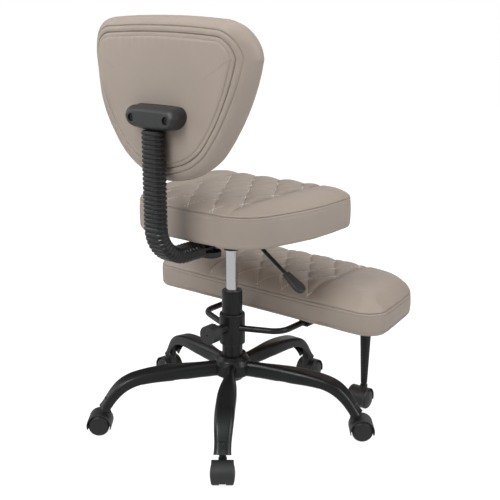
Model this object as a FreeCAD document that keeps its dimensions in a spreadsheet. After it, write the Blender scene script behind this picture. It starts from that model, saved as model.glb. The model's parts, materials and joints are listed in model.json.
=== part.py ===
import FreeCAD, Part
import Sketcher
import math
import os
import re

from FreeCAD import Placement, Rotation, Vector

# Kneeling chair: a five-legged swivel seat on a gas column, with a J-bar backrest and a wide stool
# that hangs on a collar around the column. The origin is on the floor on the column's axis, +Z is up
# and the chair faces -Y. All sizes are in millimetres.

DIMENSIONS = {
    # Fits
    "running_gap": 0.06,
    "loose_gap": 0.3,
    # Gas column
    "column_radius": 25,
    "column_wall": 2,
    "column_bottom": 108,
    "column_top": 336,
    "end_plate": 4,
    "bush_length": 80,
    "bush_lip": 2,
    "bearing_height": 6,
    "bearing_radius": 13,
    "rod_radius": 5,
    "shoulder_radius": 8,
    "piston_height": 12,
    "lift_up": 60,
    "clip_thickness": 2,
    "clip_radius": 9,
    "gas_radius": 14,
    "gas_wall": 1,
    "gas_bottom": 230,
    "gas_shoulder": 440,
    "gas_top": 468,
    "gas_taper": 0.8,
    "gas_plug": 18,
    "rod_guide_height": 10,
    "pin_radius": 3,
    "pin_stand": 6,
    # Base
    "hub_radius": 46,
    "hub_bottom": 116,
    "hub_height": 54,
    "hub_shoulder": 20,
    "hub_ring": 8,
    "leg_wall": 2.5,
    "leg_root_height": 40,
    "leg_root_width": 31,
    "leg_bow_height": 29,
    "leg_bow_width": 45,
    "leg_tip_height": 26,
    "leg_tip_width": 40,
    "leg_axis_height": 138,
    "caster_circle": 313,
    "socket_radius": 9,
    "socket_depth": 32,
    # Casters
    "wheel_radius": 25,
    "wheel_width": 18,
    "wheel_dome": 3,
    "wheel_rim": 2.5,
    "caster_web": 13,
    "caster_trail": 19,
    "hood_radius": 29.5,
    "hood_wall": 2.5,
    "hood_width": 49,
    "hood_skirt": 17,
    "web_clearance": 7,
    "axle_radius": 3,
    "stem_radius": 5.5,
    "stem_boss_radius": 9.5,
    "stem_boss_top": 54,
    "stem_flange_radius": 8,
    "socket_height": 62,
    # Seat
    "seat_bottom": 495,
    "seat_seam": 566,
    "seat_crown": 590,
    "seat_half_width": 222,
    "seat_rear": 169,
    "seat_front": 221,
    "board_thickness": 12,
    "board_margin": 22,
    # Mechanism
    "boss_radius": 20,
    "flange_half_width": 95,
    "flange_front": 95,
    "flange_rear": 112,
    "flange_thickness": 4,
    "cheek_half_width": 45,
    "cheek_thickness": 3,
    "cheek_drop": 26,
    "guide_front": 46,
    "guide_length": 56,
    "bolt_radius": 3,
    "bolt_head_radius": 6,
    "bolt_head_height": 4,
    # Height lever
    "lever_height": 479,
    "lever_radius": 4.5,
    "lever_pivot": 30,
    "lever_bend": 60,
    "lever_bend_radius": 12,
    "lever_slope": 34.3,
    "lever_reach": 192,
    "pivot_pin_radius": 2.5,
    "paddle_length": 62,
    "paddle_width": 32,
    "paddle_neck": 18,
    "paddle_thickness": 11,
    "paddle_grip": 14,
    "paddle_rounding": 2.5,
    # J-bar, its boot and its clamp knob
    "bar_height": 466.5,
    "bar_width": 38,
    "bar_thickness": 6,
    "bar_front": 44,
    "bar_bend_start": 176,
    "bar_bend_radius": 78.5,
    "bar_top": 795,
    "bar_slot_front": 51.5,
    "bar_slot_rear": 95.5,
    "knob_stud_radius": 4,
    "bar_knob_place": 76,
    "bar_knob_radius": 24.5,
    "bar_knob_bottom": 440,
    "bar_knob_height": 13,
    "boot_front": 122,
    "boot_width": 56,
    "boot_depth": 34,
    "boot_chamfer": 9,
    "boot_rib": 2.6,
    "boot_pitch": 9.8,
    "boot_wall": 2,
    "boot_entry": 1.1,
    # Backrest
    "back_bottom": 638,
    "back_top": 988,
    "back_half_width": 239,
    "back_widest": 905,
    "back_front": 146,
    "back_rear": 226,
    "back_seam_inset": 46,
    "back_panel": 6,
    "back_board_inset": 60,
    "cover_half_width": 76,
    "cover_bottom": 752,
    "cover_top": 806,
    "cover_depth": 39,
    "cover_wall": 3,
    "cover_taper": 9,
    "cover_screw_spacing": 100,
    "recess_radius": 8.5,
    "recess_depth": 8,
    "bracket_half_width": 56,
    "bracket_height": 34,
    "bracket_plate": 3,
    # Stool
    "stool_bottom": 264,
    "stool_seam": 319,
    "stool_crown": 356,
    "stool_half_width": 340,
    "stool_rear": 88,
    "stool_front": 394,
    "collar_radius": 31.5,
    "collar_wall": 3.5,
    "collar_bottom": 203,
    "collar_top": 276,
    "collar_gap": 0.08,
    "bush_flange": 3,
    "arm_height": 246,
    "arm_radius": 7.5,
    "arm_spread": 123,
    "arm_bend_radius": 45,
    "arm_corner": 37,
    "arm_end": 330,
    "clamp_width": 30,
    "clamp_length": 40,
    "clamp_under": 4,
    "knob_boss_radius": 12,
    "knob_boss_end": 50,
    "knob_neck_radius": 14,
    "knob_head_start": 67,
    "knob_face": 93,
    "knob_radius": 23,
    "knob_stud": 5,
    "stool_leg_x": 213,
    "stool_leg_y": 275,
    "stool_leg_top_radius": 16.5,
    "stool_leg_bottom_radius": 8.5,
    "stool_leg_plate": 3,
    "stool_leg_plate_radius": 28,
    # Quilting
    "quilt_angle": 56.5,
    "channel_width": 3,
    "channel_depth": 3,
    "seat_quilt_pitch": 62,
    "seat_quilt_start": 39,
    "seat_panel_half_width": 128,
    "seat_panel_margin": 6,
    "seat_panel_bow": 6,
    "stool_quilt_pitch": 64,
    "stool_quilt_start": -214,
    "stool_panel_half_width": 163,
    "stool_panel_margin": 6,
    "stool_panel_bow": 3,
}

doc = FreeCAD.newDocument("KneelingChair")
sheet = doc.addObject("Spreadsheet::Sheet", "Sizes")
for row, (alias, value) in enumerate(DIMENSIONS.items(), start=1):
    sheet.set("A%d" % row, alias)
    sheet.set("B%d" % row, str(value))
    sheet.setAlias("B%d" % row, alias)
doc.recompute()

PARTS = []

# The most that an outline moves square to itself before it closes in on its middle
CORNER_LIMIT = 24


def size(alias):
    """The value of one driving dimension, read from the sheet."""
    return float(sheet.get(alias))


def bound(text):
    """An expression with each dimension's name pointed at its cell."""
    return re.sub(r"[a-z_]+", lambda word: cell(word.group()), text)


def cell(word):
    return "Sizes." + word if word in DIMENSIONS else word


def drive(item, **texts):
    """Tie an object's properties to the sheet."""
    for name, text in texts.items():
        item.setExpression(name, bound(text))
    return item


def place(item, x="0", y="0", z="0", axis=Vector(0, 0, 1), angle=0):
    item.Placement = Placement(Vector(), Rotation(axis, angle))
    for name, text in (("x", x), ("y", y), ("z", z)):
        item.setExpression(".Placement.Base." + name, bound(text))
    return item


def cylinder(name, radius, height, x="0", y="0", z="0", axis=Vector(0, 0, 1), angle=0):
    item = doc.addObject("Part::Cylinder", name)
    drive(item, Radius=radius, Height=height)
    return place(item, x, y, z, axis, angle)


def cone(name, low_radius, high_radius, height, x="0", y="0", z="0"):
    item = doc.addObject("Part::Cone", name)
    drive(item, Radius1=low_radius, Radius2=high_radius, Height=height)
    return place(item, x, y, z)


def block(name, length, width, height, x, y, z):
    item = doc.addObject("Part::Box", name)
    drive(item, Length=length, Width=width, Height=height)
    return place(item, x, y, z)


def along_y(name, radius, height, x, y, z):
    """A cylinder whose axis points to -Y from the given end."""
    return cylinder(name, radius, height, x, y, z, Vector(1, 0, 0), 90)


def cut(name, base, tool):
    item = doc.addObject("Part::Cut", name)
    item.Base = base
    item.Tool = tool
    item.Refine = False
    return item


def fuse(name, *shapes):
    item = doc.addObject("Part::MultiFuse", name)
    item.Shapes = list(shapes)
    return item


def group(name, *items):
    item = doc.addObject("Part::Compound", name)
    item.Links = list(items)
    return item


def feature(name, shape):
    item = doc.addObject("Part::Feature", name)
    item.Shape = shape
    return item


def sub_part(item, label):
    """Name a finished piece; its label is also its file's name."""
    item.Label = label
    PARTS.append(item)
    return item


def origin_plane(body, role):
    return next(item for item in body.Origin.OriginFeatures if item.Role == role)


def profile(body, name, role, points):
    """A closed sketch of straight lines whose corners are tied to the sheet."""
    sketch = body.newObject("Sketcher::SketchObject", name)
    sketch.AttachmentSupport = (origin_plane(body, role), [""])
    sketch.MapMode = "FlatFace"
    spots = [Vector(value_of(x), value_of(y), 0) for x, y in points]
    for index, spot in enumerate(spots):
        sketch.addGeometry(Part.LineSegment(spot, spots[(index + 1) % len(spots)]), False)
    for index in range(len(spots)):
        sketch.addConstraint(Sketcher.Constraint("Coincident", index, 2, (index + 1) % len(spots), 1))
    for index, (x, y) in enumerate(points):
        pin_corner(sketch, "DistanceX", index, x, -2)
        pin_corner(sketch, "DistanceY", index, y, -1)
    return sketch


def pin_corner(sketch, kind, index, text, axis):
    """Hold one corner's coordinate, on the sketch's axis where it is zero."""
    if text == "0":
        sketch.addConstraint(Sketcher.Constraint("PointOnObject", index, 1, axis))
        return
    number = sketch.addConstraint(Sketcher.Constraint(kind, -1, 1, index, 1, value_of(text)))
    sketch.setExpression("Constraints[%d]" % number, bound(text))


def value_of(text):
    """The number that an expression gives now."""
    names = {word: size(word) for word in DIMENSIONS if word in text}
    total = FreeCAD.Units.Quantity(re.sub(r"[a-z_]+", lambda word: repr(names[word.group()]), text))
    return float(total.Value)


def turned(name, points):
    """A ring or shaft made on a lathe: its half section turned about Z."""
    body = doc.addObject("PartDesign::Body", name)
    sketch = profile(body, name + "_section", "XZ_Plane", points)
    turn = body.newObject("PartDesign::Revolution", name + "_turn")
    turn.Profile = sketch
    turn.ReferenceAxis = (sketch, ["V_Axis"])
    turn.Angle = 360
    sketch.Visibility = False
    return body


# Gas column: outer tube, guide bush, rod with its piston, bearing, clip and pressure tube
def make_column():
    rod_hole = "rod_radius + running_gap"
    bore = "column_radius - column_wall"
    floor_top = "column_bottom + end_plate"
    tube = turned("tube", [
        (rod_hole, "column_bottom"),
        ("column_radius", "column_bottom"),
        ("column_radius", "column_top"),
        (bore, "column_top"),
        (bore, floor_top),
        (rod_hole, floor_top),
    ])
    sub_part(tube, "column_tube")
    bush_bore = "gas_radius + running_gap"
    bush = turned("bush", [
        (bush_bore, "column_top - bush_length"),
        (bore, "column_top - bush_length"),
        (bore, "column_top"),
        ("column_radius - 1", "column_top"),
        ("column_radius - 1", "column_top + bush_lip"),
        (bush_bore, "column_top + bush_lip"),
    ])
    sub_part(bush, "guide_bush")
    bearing = turned("bearing", [
        (rod_hole, floor_top),
        ("bearing_radius", floor_top),
        ("bearing_radius", floor_top + " + bearing_height"),
        (rod_hole, floor_top + " + bearing_height"),
    ])
    sub_part(bearing, "thrust_bearing")
    clip_top = "column_bottom - loose_gap"
    clip_low = clip_top + " - clip_thickness"
    shoulder = floor_top + " + bearing_height + running_gap"
    piston = "gas_bottom + rod_guide_height + lift_up + 4"
    piston_radius = "gas_radius - gas_wall - running_gap"
    rod = turned("rod", [
        ("0", clip_low + " - 4"),
        ("rod_radius", clip_low + " - 4"),
        ("rod_radius", clip_low),
        ("rod_radius - 1", clip_low),
        ("rod_radius - 1", clip_top),
        ("rod_radius", clip_top),
        ("rod_radius", shoulder),
        ("shoulder_radius", shoulder),
        ("shoulder_radius", shoulder + " + 4"),
        ("rod_radius", shoulder + " + 4"),
        ("rod_radius", piston),
        (piston_radius, piston),
        (piston_radius, piston + " + piston_height"),
        ("0", piston + " + piston_height"),
    ])
    sub_part(rod, "piston_rod")
    clip = turned("clip", [
        ("rod_radius - 1", clip_low),
        ("clip_radius", clip_low),
        ("clip_radius", clip_top),
        ("rod_radius - 1", clip_top),
    ])
    sub_part(clip, "retaining_clip")
    pin_hole = "pin_radius + running_gap"
    inside = "gas_radius - gas_wall"
    pressure = turned("pressure", [
        (inside, "gas_bottom"),
        ("gas_radius", "gas_bottom"),
        ("gas_radius", "gas_shoulder"),
        ("gas_radius - gas_taper", "gas_top"),
        (pin_hole, "gas_top"),
        (pin_hole, "gas_top - gas_plug"),
        (inside, "gas_top - gas_plug"),
    ])
    sub_part(pressure, "pressure_tube")
    guide = turned("guide", [
        (rod_hole, "gas_bottom"),
        (inside, "gas_bottom"),
        (inside, "gas_bottom + rod_guide_height"),
        (rod_hole, "gas_bottom + rod_guide_height"),
    ])
    sub_part(guide, "rod_guide")
    pin = cylinder("pin", "pin_radius", "gas_plug + pin_stand + 6", z="gas_top - gas_plug - 6")
    sub_part(pin, "release_pin")


# Base: the hub with its rounded shoulder
def make_hub():
    ring = "column_radius + hub_ring"
    top = "hub_bottom + hub_height"
    body = turned("hub", [
        ("column_radius", "hub_bottom"),
        (ring, "hub_bottom"),
        ("hub_radius", "hub_bottom + 8"),
        ("hub_radius", top + " - hub_shoulder"),
        ("hub_radius - 5", top + " - 8"),
        (ring, top),
        ("column_radius", top),
    ])
    doc.recompute()
    turn = body.Tip
    round_edges(body, turn, 6)
    return sub_part(body, "base_hub")


def round_edges(body, base, radius):
    """Round the shoulder edges of the hub, which are its widest circles."""
    names = []
    for number, edge in enumerate(base.Shape.Edges, start=1):
        if not isinstance(edge.Curve, Part.Circle):
            continue
        wide = edge.Curve.Radius > size("column_radius") + size("hub_ring") + 1
        if wide:
            names.append("Edge%d" % number)
    fillet = body.newObject("PartDesign::Fillet", "hub_round")
    fillet.Base = (base, names)
    fillet.Radius = radius
    body.Tip = fillet


def oval(centre, out, side, up, width, height, corner):
    """A closed wire of four lines and four arcs, square to the direction `out`."""
    half_w = width / 2
    half_h = height / 2
    diagonal = corner * (1 - math.sqrt(0.5))
    edges = []
    turns = [(1, 1), (-1, 1), (-1, -1), (1, -1)]

    def spot(a, b):
        return centre + side * a + up * b

    for index, (sx, sy) in enumerate(turns):
        first = spot(sx * half_w, sy * (half_h - corner))
        last = spot(sx * (half_w - corner), sy * half_h)
        if index % 2:
            first, last = last, first
        middle = spot(sx * (half_w - diagonal), sy * (half_h - diagonal))
        edges.append(Part.Arc(first, middle, last).toShape())
        nx, ny = turns[(index + 1) % 4]
        if index % 2 == 0:
            following = spot(nx * (half_w - corner), ny * half_h)
        else:
            following = spot(nx * half_w, ny * (half_h - corner))
        edges.append(Part.makeLine(last, following))
    return Part.Wire(edges)


def leg_stations():
    """Centre, tilt, width, height and corner of the leg's sections, from hub to tip."""
    axis = size("leg_axis_height")
    circle = size("caster_circle")
    tip = size("socket_height")
    root = (size("leg_root_width"), size("leg_root_height"), 14)
    bow = (size("leg_bow_width"), size("leg_bow_height"), 10)
    end = (size("leg_tip_width"), size("leg_tip_height"), 11)
    return [
        (circle * 0.10, axis, 0, *root),
        (circle * 0.34, axis, 0, *root),
        (circle * 0.56, axis, 1, bow[0] - 1, (root[1] + bow[1]) / 2, 12),
        (circle * 0.72, axis - 4, 13, *bow),
        (circle * 0.84, axis - 15, 35, bow[0], bow[1] - 1, 10),
        (circle * 0.945, axis - 43, 56, *end),
        (circle * 1.02, tip + 1, 64, *end),
    ]


def leg_section(station, wall=0.0, deeper=0.0):
    distance, height, tilt, width, tall, corner = station
    angle = math.radians(tilt)
    up = Vector(math.sin(angle), 0, math.cos(angle))
    out = Vector(math.cos(angle), 0, -math.sin(angle))
    centre = Vector(distance, 0, height) - up * (wall + deeper) / 2
    inner_corner = max(corner - wall, 2)
    return oval(centre, out, Vector(0, 1, 0), up, width - 2 * wall, tall - wall + deeper, inner_corner)


# Base: one pressed leg, an oval tube at the hub that opens downwards into a channel at its tip
def make_leg(hub):
    stations = leg_stations()
    outer = Part.makeLoft([leg_section(station) for station in stations], True, False)
    wall = size("leg_wall")
    deeper = (-wall, -wall, -wall, -wall, 24, 24, 24)
    hollow = Part.makeLoft([leg_section(station, wall, more) for station, more in zip(stations, deeper)],
                           True, False)
    circle = size("caster_circle")
    tip = size("socket_height")
    radius = size("socket_radius")
    depth = size("socket_depth")
    foot = Part.makeBox(120, 120, 60, Vector(circle - 60, -60, tip - 60))
    socket = Part.makeCylinder(radius, depth, Vector(circle, 0, tip))
    bore = Part.makeCylinder(size("stem_radius"), depth - 2, Vector(circle, 0, tip))
    shape = outer.cut(hollow).fuse(socket.common(outer.fuse(hollow))).cut(foot).cut(bore)
    blank = feature("leg_blank", shape)
    return cut("leg_trimmed", blank, hub)


def polar(alias, angle):
    """Two expressions for a place on a circle about the column."""
    return "%s * cos(%g deg)" % (alias, angle), "%s * sin(%g deg)" % (alias, angle)


# Casters: hood with its web, stem and a pair of wheels on one axle, for one trail direction
def make_caster_blanks():
    trail = "caster_trail"
    hub_height = "wheel_radius"
    shell = along_y("hood_drum", "hood_radius", "hood_width", trail, "hood_width / 2", hub_height)
    cavities = []
    for side, start in (("near", "caster_web / 2 + 30"), ("far", "-caster_web / 2")):
        cavities.append(along_y("hood_hollow_" + side, "hood_radius - hood_wall", "30",
                                trail, start, hub_height))
    hollow = fuse("hood_hollow", *cavities)
    drum = cut("hood_shell", shell, hollow)
    boss = cylinder("hood_boss", "stem_boss_radius", "stem_boss_top - wheel_radius - 4",
                    z="wheel_radius + 4")
    boss_room = fuse("hood_boss_room", *[
        along_y("boss_room_" + side, "wheel_radius + 1.5", "30", trail, start, hub_height)
        for side, start in (("near", "caster_web / 2 + 30"), ("far", "-caster_web / 2"))])
    neck = cut("hood_neck", boss, boss_room)
    whole = fuse("hood_whole", drum, neck)
    skirt = block("hood_skirt_cut", "120", "hood_width + 20", "hood_skirt + 20",
                  "-60", "-hood_width / 2 - 10", "-20")
    keep = block("hood_web_keep", "30", "caster_web", "hood_skirt - web_clearance",
                 "caster_trail - 15", "-caster_web / 2", "web_clearance")
    trimmed = cut("hood_trimmed", whole, skirt)
    body = fuse("hood_body", trimmed, keep)
    bores = fuse(
        "hood_bores",
        along_y("axle_bore", "axle_radius + running_gap", "hood_width", trail, "hood_width / 2",
                hub_height),
        cylinder("stem_bore", "stem_radius + running_gap", "40", z="stem_boss_top - 20"),
    )
    hood = cut("hood_blank", body, bores)
    stem_low = "stem_boss_top - 19"
    stem = fuse(
        "stem_blank",
        cylinder("stem_shaft", "stem_radius", "socket_height + socket_depth - 3 - (%s)" % stem_low,
                 z=stem_low),
        cylinder("stem_flange", "stem_flange_radius",
                 "socket_height - stem_boss_top - loose_gap", z="stem_boss_top + loose_gap"),
    )
    return hood, stem, make_wheel_pair()


def make_wheel_pair():
    """Two wheels with domed faces and the axle that carries them, about the Y axis."""
    inner = size("caster_web") / 2 + 0.5
    outer = inner + size("wheel_width")
    radius = size("wheel_radius")
    rim = size("wheel_rim")
    dome = size("wheel_dome")
    bore = size("axle_radius")
    axle_end = outer - 4
    rim_end = radius - rim - 2
    dome_radius = (rim_end ** 2 + dome ** 2) / (2 * dome)
    dome_turn = math.asin(rim_end / dome_radius) / 2
    dome_rise = dome - dome_radius * (1 - math.cos(dome_turn))
    centre = Vector(size("caster_trail"), 0, radius)
    solids = []
    for side in (1, -1):
        spots = [
            (bore, inner),
            (radius - 1, inner),
            (radius, inner + 1),
            (radius, outer - 3),
            (radius - rim, outer),
            (radius - rim - 1, outer - 0.8),
            (rim_end, outer),
        ]
        wire = [Vector(r, side * y, 0) for r, y in spots]
        edges = [Part.makeLine(a, b) for a, b in zip(wire, wire[1:])]
        crown_middle = Vector(dome_radius * math.sin(dome_turn), side * (outer + dome_rise), 0)
        crown = Part.Arc(wire[-1], crown_middle, Vector(0, side * (outer + dome), 0))
        edges.append(crown.toShape())
        edges.append(Part.makeLine(Vector(0, side * (outer + dome), 0), Vector(0, side * axle_end, 0)))
        edges.append(Part.makeLine(Vector(0, side * axle_end, 0), Vector(bore, side * axle_end, 0)))
        edges.append(Part.makeLine(Vector(bore, side * axle_end, 0), wire[0]))
        face = Part.Face(Part.Wire(edges))
        wheel = face.revolve(Vector(), Vector(0, 1, 0), 360)
        wheel.translate(centre)
        solids.append(wheel)
    axle = Part.makeCylinder(bore, 2 * axle_end, centre - Vector(0, axle_end, 0), Vector(0, 1, 0))
    return feature("wheels_blank", Part.makeCompound([*solids, axle]))


# Each caster's place on the floor and the direction in which its wheels trail
BASE_LEG_ANGLES = (-90, -18, 54, 126, 198)
BASE_TRAILS = (-90, -11, 39, 129, 219)
STOOL_TRAILS = (93, 98)


def placed(name, source, x, y, angle):
    """A copy of a finished blank, moved to its caster's place and turned about the vertical axis."""
    return place(group(name, source), x, y, "0", Vector(0, 0, 1), angle)


def make_casters(blanks):
    hood, stem, wheels = blanks
    places = []
    for number, angle in enumerate(BASE_LEG_ANGLES, start=1):
        places.append((number, *polar("caster_circle", angle), BASE_TRAILS[number - 1]))
    for number, (side, trail) in enumerate(zip(("-", ""), STOOL_TRAILS), start=6):
        places.append((number, side + "stool_leg_x", "-stool_leg_y", trail))
    stems = []
    for number, x, y, trail in places:
        sub_part(placed("hood_%d" % number, hood, x, y, trail), "caster_%d_hood" % number)
        sub_part(placed("wheels_%d" % number, wheels, x, y, trail), "caster_%d_wheels" % number)
        stems.append(placed("stem_%d" % number, stem, x, y, trail))
    sub_part(group("stems_base", *stems[:5]), "base_caster_stems")
    sub_part(group("stems_stool", *stems[5:]), "stool_caster_stems")


def smooth_outline(nodes, inset, level, spot):
    """A closed wire of arcs, moved inwards: each second node is the middle of an arc.

    Up to the size of the tightest corner the nodes move square to the outline, and beyond it they
    close in on the middle, so that no corner folds over itself.
    """
    count = len(nodes)
    square = min(inset, CORNER_LIMIT)
    low, high = [(min(values), max(values)) for values in zip(*nodes)]
    middle = ((low[0] + low[1]) / 2, (high[0] + high[1]) / 2)
    shrink = 1 - (inset - square) / ((low[1] - low[0]) / 2)
    moved = []
    for index, (x, y) in enumerate(nodes):
        before = nodes[index - 1]
        after = nodes[(index + 1) % count]
        along = (after[0] - before[0], after[1] - before[1])
        length = math.hypot(*along)
        x_in = x - square * along[1] / length
        y_in = y + square * along[0] / length
        moved.append(spot(middle[0] + (x_in - middle[0]) * shrink,
                          middle[1] + (y_in - middle[1]) * shrink, level))
    arcs = []
    for index in range(0, count, 2):
        last = moved[(index + 2) % count]
        arcs.append(Part.Arc(moved[index], moved[index + 1], last).toShape())
    return Part.Wire(arcs)


def flat_spot(x, y, level):
    return Vector(x, y, level)


def upright_spot(x, z, level):
    return Vector(x, level, z)


def mirrored(half):
    """The whole outline, anticlockwise, from its right half, whose ends lie on the middle line."""
    left = [(-x, y) for x, y in reversed(half[1:-1])]
    return half + left


def seat_nodes():
    """Seat outline: a narrower rounded rear and a wide front with large corners."""
    wide = size("seat_half_width")
    front = size("seat_front")
    rear = size("seat_rear")
    return mirrored([
        (0, -front),
        (wide * 0.40, -front + 1),
        (wide * 0.72, -front + 8),
        (wide * 0.93, -front + 29),
        (wide, -front + 78),
        (wide * 0.98, -front * 0.03),
        (wide * 0.88, rear * 0.50),
        (wide * 0.72, rear * 0.86),
        (wide * 0.40, rear * 0.985),
        (wide * 0.20, rear * 0.996),
        (0, rear),
    ])


def stool_nodes():
    """Stool outline: a straight edge beside the column and large corners at the front."""
    wide = size("stool_half_width")
    rear = -size("stool_rear")
    front = -size("stool_front")
    return mirrored([
        (0, front),
        (wide * 0.28, front + 3),
        (wide * 0.56, front + 13),
        (wide * 0.84, front + 52),
        (wide * 0.94, front + 120),
        (wide * 0.976, front + 195),
        (wide, rear - 50),
        (wide * 0.953, rear - 14),
        (wide * 0.84, rear),
        (wide * 0.42, rear + 0.4),
        (0, rear + 0.6),
    ])


def back_nodes():
    """Backrest outline: a shield, widest near its top and round at its foot."""
    wide = size("back_half_width")
    low = size("back_bottom")
    high = size("back_top")
    widest = size("back_widest")
    span = widest - low
    return mirrored([
        (0, low),
        (wide * 0.30, low + span * 0.054),
        (wide * 0.565, low + span * 0.202),
        (wide * 0.866, low + span * 0.606),
        (wide, widest),
        (wide * 0.90, high - 31),
        (wide * 0.63, high - 5),
        (wide * 0.31, high - 1.2),
        (0, high),
    ])


def shell_of(nodes, levels, spot):
    return Part.makeLoft([smooth_outline(nodes, inset, level, spot) for level, inset in levels], True, False)


def slab_of(nodes, inset, low, thickness, spot):
    face = Part.Face(smooth_outline(nodes, inset, low, spot))
    direction = spot(0, 0, thickness) - spot(0, 0, 0)
    return face.extrude(direction)


def quilt_lines(kind, low, top):
    """Upright blades along two families of crossing lines that make long diamonds."""
    pitch = size(kind + "_quilt_pitch")
    start = size(kind + "_quilt_start")
    width = size("channel_width")
    angle = math.radians(size("quilt_angle"))
    reach = 4 * size("stool_half_width")
    count = int(reach / 4 / pitch)
    blades = []
    for turn in (angle, -angle):
        for number in range(-count, count + 1):
            blade = Part.makeBox(reach, width, top - low, Vector(-reach / 2, -width / 2, low))
            blade.rotate(Vector(), Vector(0, 0, 1), math.degrees(turn))
            blade.translate(Vector(0, start + number * pitch / math.cos(angle), 0))
            blades.append(blade)
    return blades


def panel_between(kind, rear, front, low, top):
    """The quilted middle panel: two straight ends and two sides that bow inwards."""
    half = size(kind + "_panel_half_width")
    margin = size(kind + "_panel_margin")
    waist = half - size(kind + "_panel_bow")
    near = rear - margin
    far = front + margin
    middle = (near + far) / 2
    wire = Part.Wire([
        Part.makeLine(Vector(-half, far, low), Vector(half, far, low)),
        Part.Arc(Vector(half, far, low), Vector(waist, middle, low), Vector(half, near, low)).toShape(),
        Part.makeLine(Vector(half, near, low), Vector(-half, near, low)),
        Part.Arc(Vector(-half, near, low), Vector(-waist, middle, low), Vector(-half, far, low)).toShape(),
    ])
    return Part.Face(wire).extrude(Vector(0, 0, top - low))


def quilted(cushion, panel, blades):
    """Press the sewn channels into a cushion, all as deep below its crown."""
    depth = size("channel_depth")
    lowered = cushion.copy()
    lowered.translate(Vector(0, 0, -depth))
    lattice = blades[0].multiFuse(blades[1:]).common(panel)
    return cushion.cut(lattice.cut(lowered))


def horizontal_cushion(nodes, bottom, seam, crown):
    """Drawn in at the bottom and at the seam, fullest between them, with a crowned top."""
    rise = crown - seam
    side = seam - bottom
    return shell_of(nodes, [
        (bottom, 11),
        (bottom + side * 0.10, 5),
        (bottom + side * 0.40, 0),
        (bottom + side * 0.75, 0),
        (seam, 3),
        (seam + rise * 0.45, 13),
        (seam + rise * 0.75, 30),
        (seam + rise * 0.92, 58),
        (crown, 80),
    ], flat_spot)


# Seat: plywood board and upholstered cushion
def make_seat():
    nodes = seat_nodes()
    bottom = size("seat_bottom")
    thick = size("board_thickness")
    margin = size("board_margin")
    gap = size("loose_gap")
    crown = size("seat_crown")
    board = slab_of(nodes, margin, bottom, thick, flat_spot)
    recess = slab_of(nodes, margin - gap, bottom, thick, flat_spot)
    seam = size("seat_seam")
    cushion = horizontal_cushion(nodes, bottom, seam, crown)
    top = crown + size("channel_depth")
    panel = panel_between("seat", size("seat_rear"), -size("seat_front"), seam, top)
    blades = quilt_lines("seat", seam, top)
    sub_part(feature("board", board), "seat_board")
    sub_part(feature("cushion", quilted(cushion.cut(recess), panel, blades)), "seat_cushion")


# Mechanism: boss on the gas tube, flange under the board, cheeks, lever lugs and J-bar guide
def make_mechanism():
    under_board = "seat_bottom - flange_thickness"
    flange = block("flange", "2 * flange_half_width", "flange_front + flange_rear", "flange_thickness",
                   "-flange_half_width", "-flange_front", under_board)
    boss = cylinder("boss", "boss_radius", "gas_top - gas_shoulder + 2", z="gas_shoulder")
    bridge = block("bridge", "2 * cheek_half_width", "36", "4", "-cheek_half_width", "-18", "gas_top - 2")
    cheeks = [
        block("cheek_" + word, "cheek_thickness", "140", "cheek_drop", x, "-70",
              under_board + " - cheek_drop")
        for word, x in (("near", "-cheek_half_width"), ("far", "cheek_half_width - cheek_thickness"))
    ]
    lugs = [
        block("lug_" + word, "12", "4", "21", "-lever_pivot - 6", y, under_board + " - 21")
        for word, y in (("front", "-10"), ("rear", "6"))
    ]
    guide_low = "bar_height + bar_thickness / 2 + 0.2"
    guide = block("bar_guide", "bar_width + 8", "guide_length", "4", "-bar_width / 2 - 4", "guide_front",
                  guide_low)
    walls = [
        block("guide_wall_" + word, "3", "guide_length", under_board + " - (%s)" % guide_low, x,
              "guide_front", guide_low)
        for word, x in (("near", "-bar_width / 2 - 4"), ("far", "bar_width / 2 + 1"))
    ]
    solid = fuse("mechanism_solid", flange, boss, bridge, *cheeks, *lugs, guide, *walls)
    tube_room = fuse(
        "mechanism_rooms",
        cone("taper_room", "gas_radius", "gas_radius - gas_taper", "gas_top - gas_shoulder",
             z="gas_shoulder"),
        cylinder("pin_room", "pin_radius + 3", "20", z="gas_top - 1"),
        cylinder("lever_room", "lever_radius + 3", "40", "-cheek_half_width - 20", "0", "lever_height",
                 Vector(0, 1, 0), 90),
        along_y("pivot_room", "pivot_pin_radius", "30", "-lever_pivot", "15", "lever_height"),
        cylinder("stud_room", "knob_stud_radius + running_gap", "12", "0", "bar_knob_place",
                 guide_low + " - 1"),
        *[cylinder("flange_hole_%d" % number, "bolt_radius", "10", x, y, under_board + " - 1")
          for number, (x, y) in enumerate(seat_bolt_places())],
    )
    sub_part(cut("mechanism", solid, tube_room), "seat_mechanism")
    pivot = along_y("pivot_pin_shaft", "pivot_pin_radius", "22", "-lever_pivot", "11", "lever_height")
    sub_part(pivot, "lever_pivot_pin")
    bolts = []
    for number, (x, y) in enumerate(seat_bolt_places()):
        head = cylinder("seat_bolt_head_%d" % number, "bolt_head_radius", "bolt_head_height", x, y,
                        under_board + " - bolt_head_height")
        shank = cylinder("seat_bolt_shank_%d" % number, "bolt_radius", "flange_thickness", x, y, under_board)
        bolts.append(fuse("seat_bolt_%d" % number, head, shank))
    sub_part(group("seat_bolt_set", *bolts), "seat_bolts")


def seat_bolt_places():
    return [(x, y) for x in ("flange_half_width - 15", "15 - flange_half_width") for y in ("75", "-75")]


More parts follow.
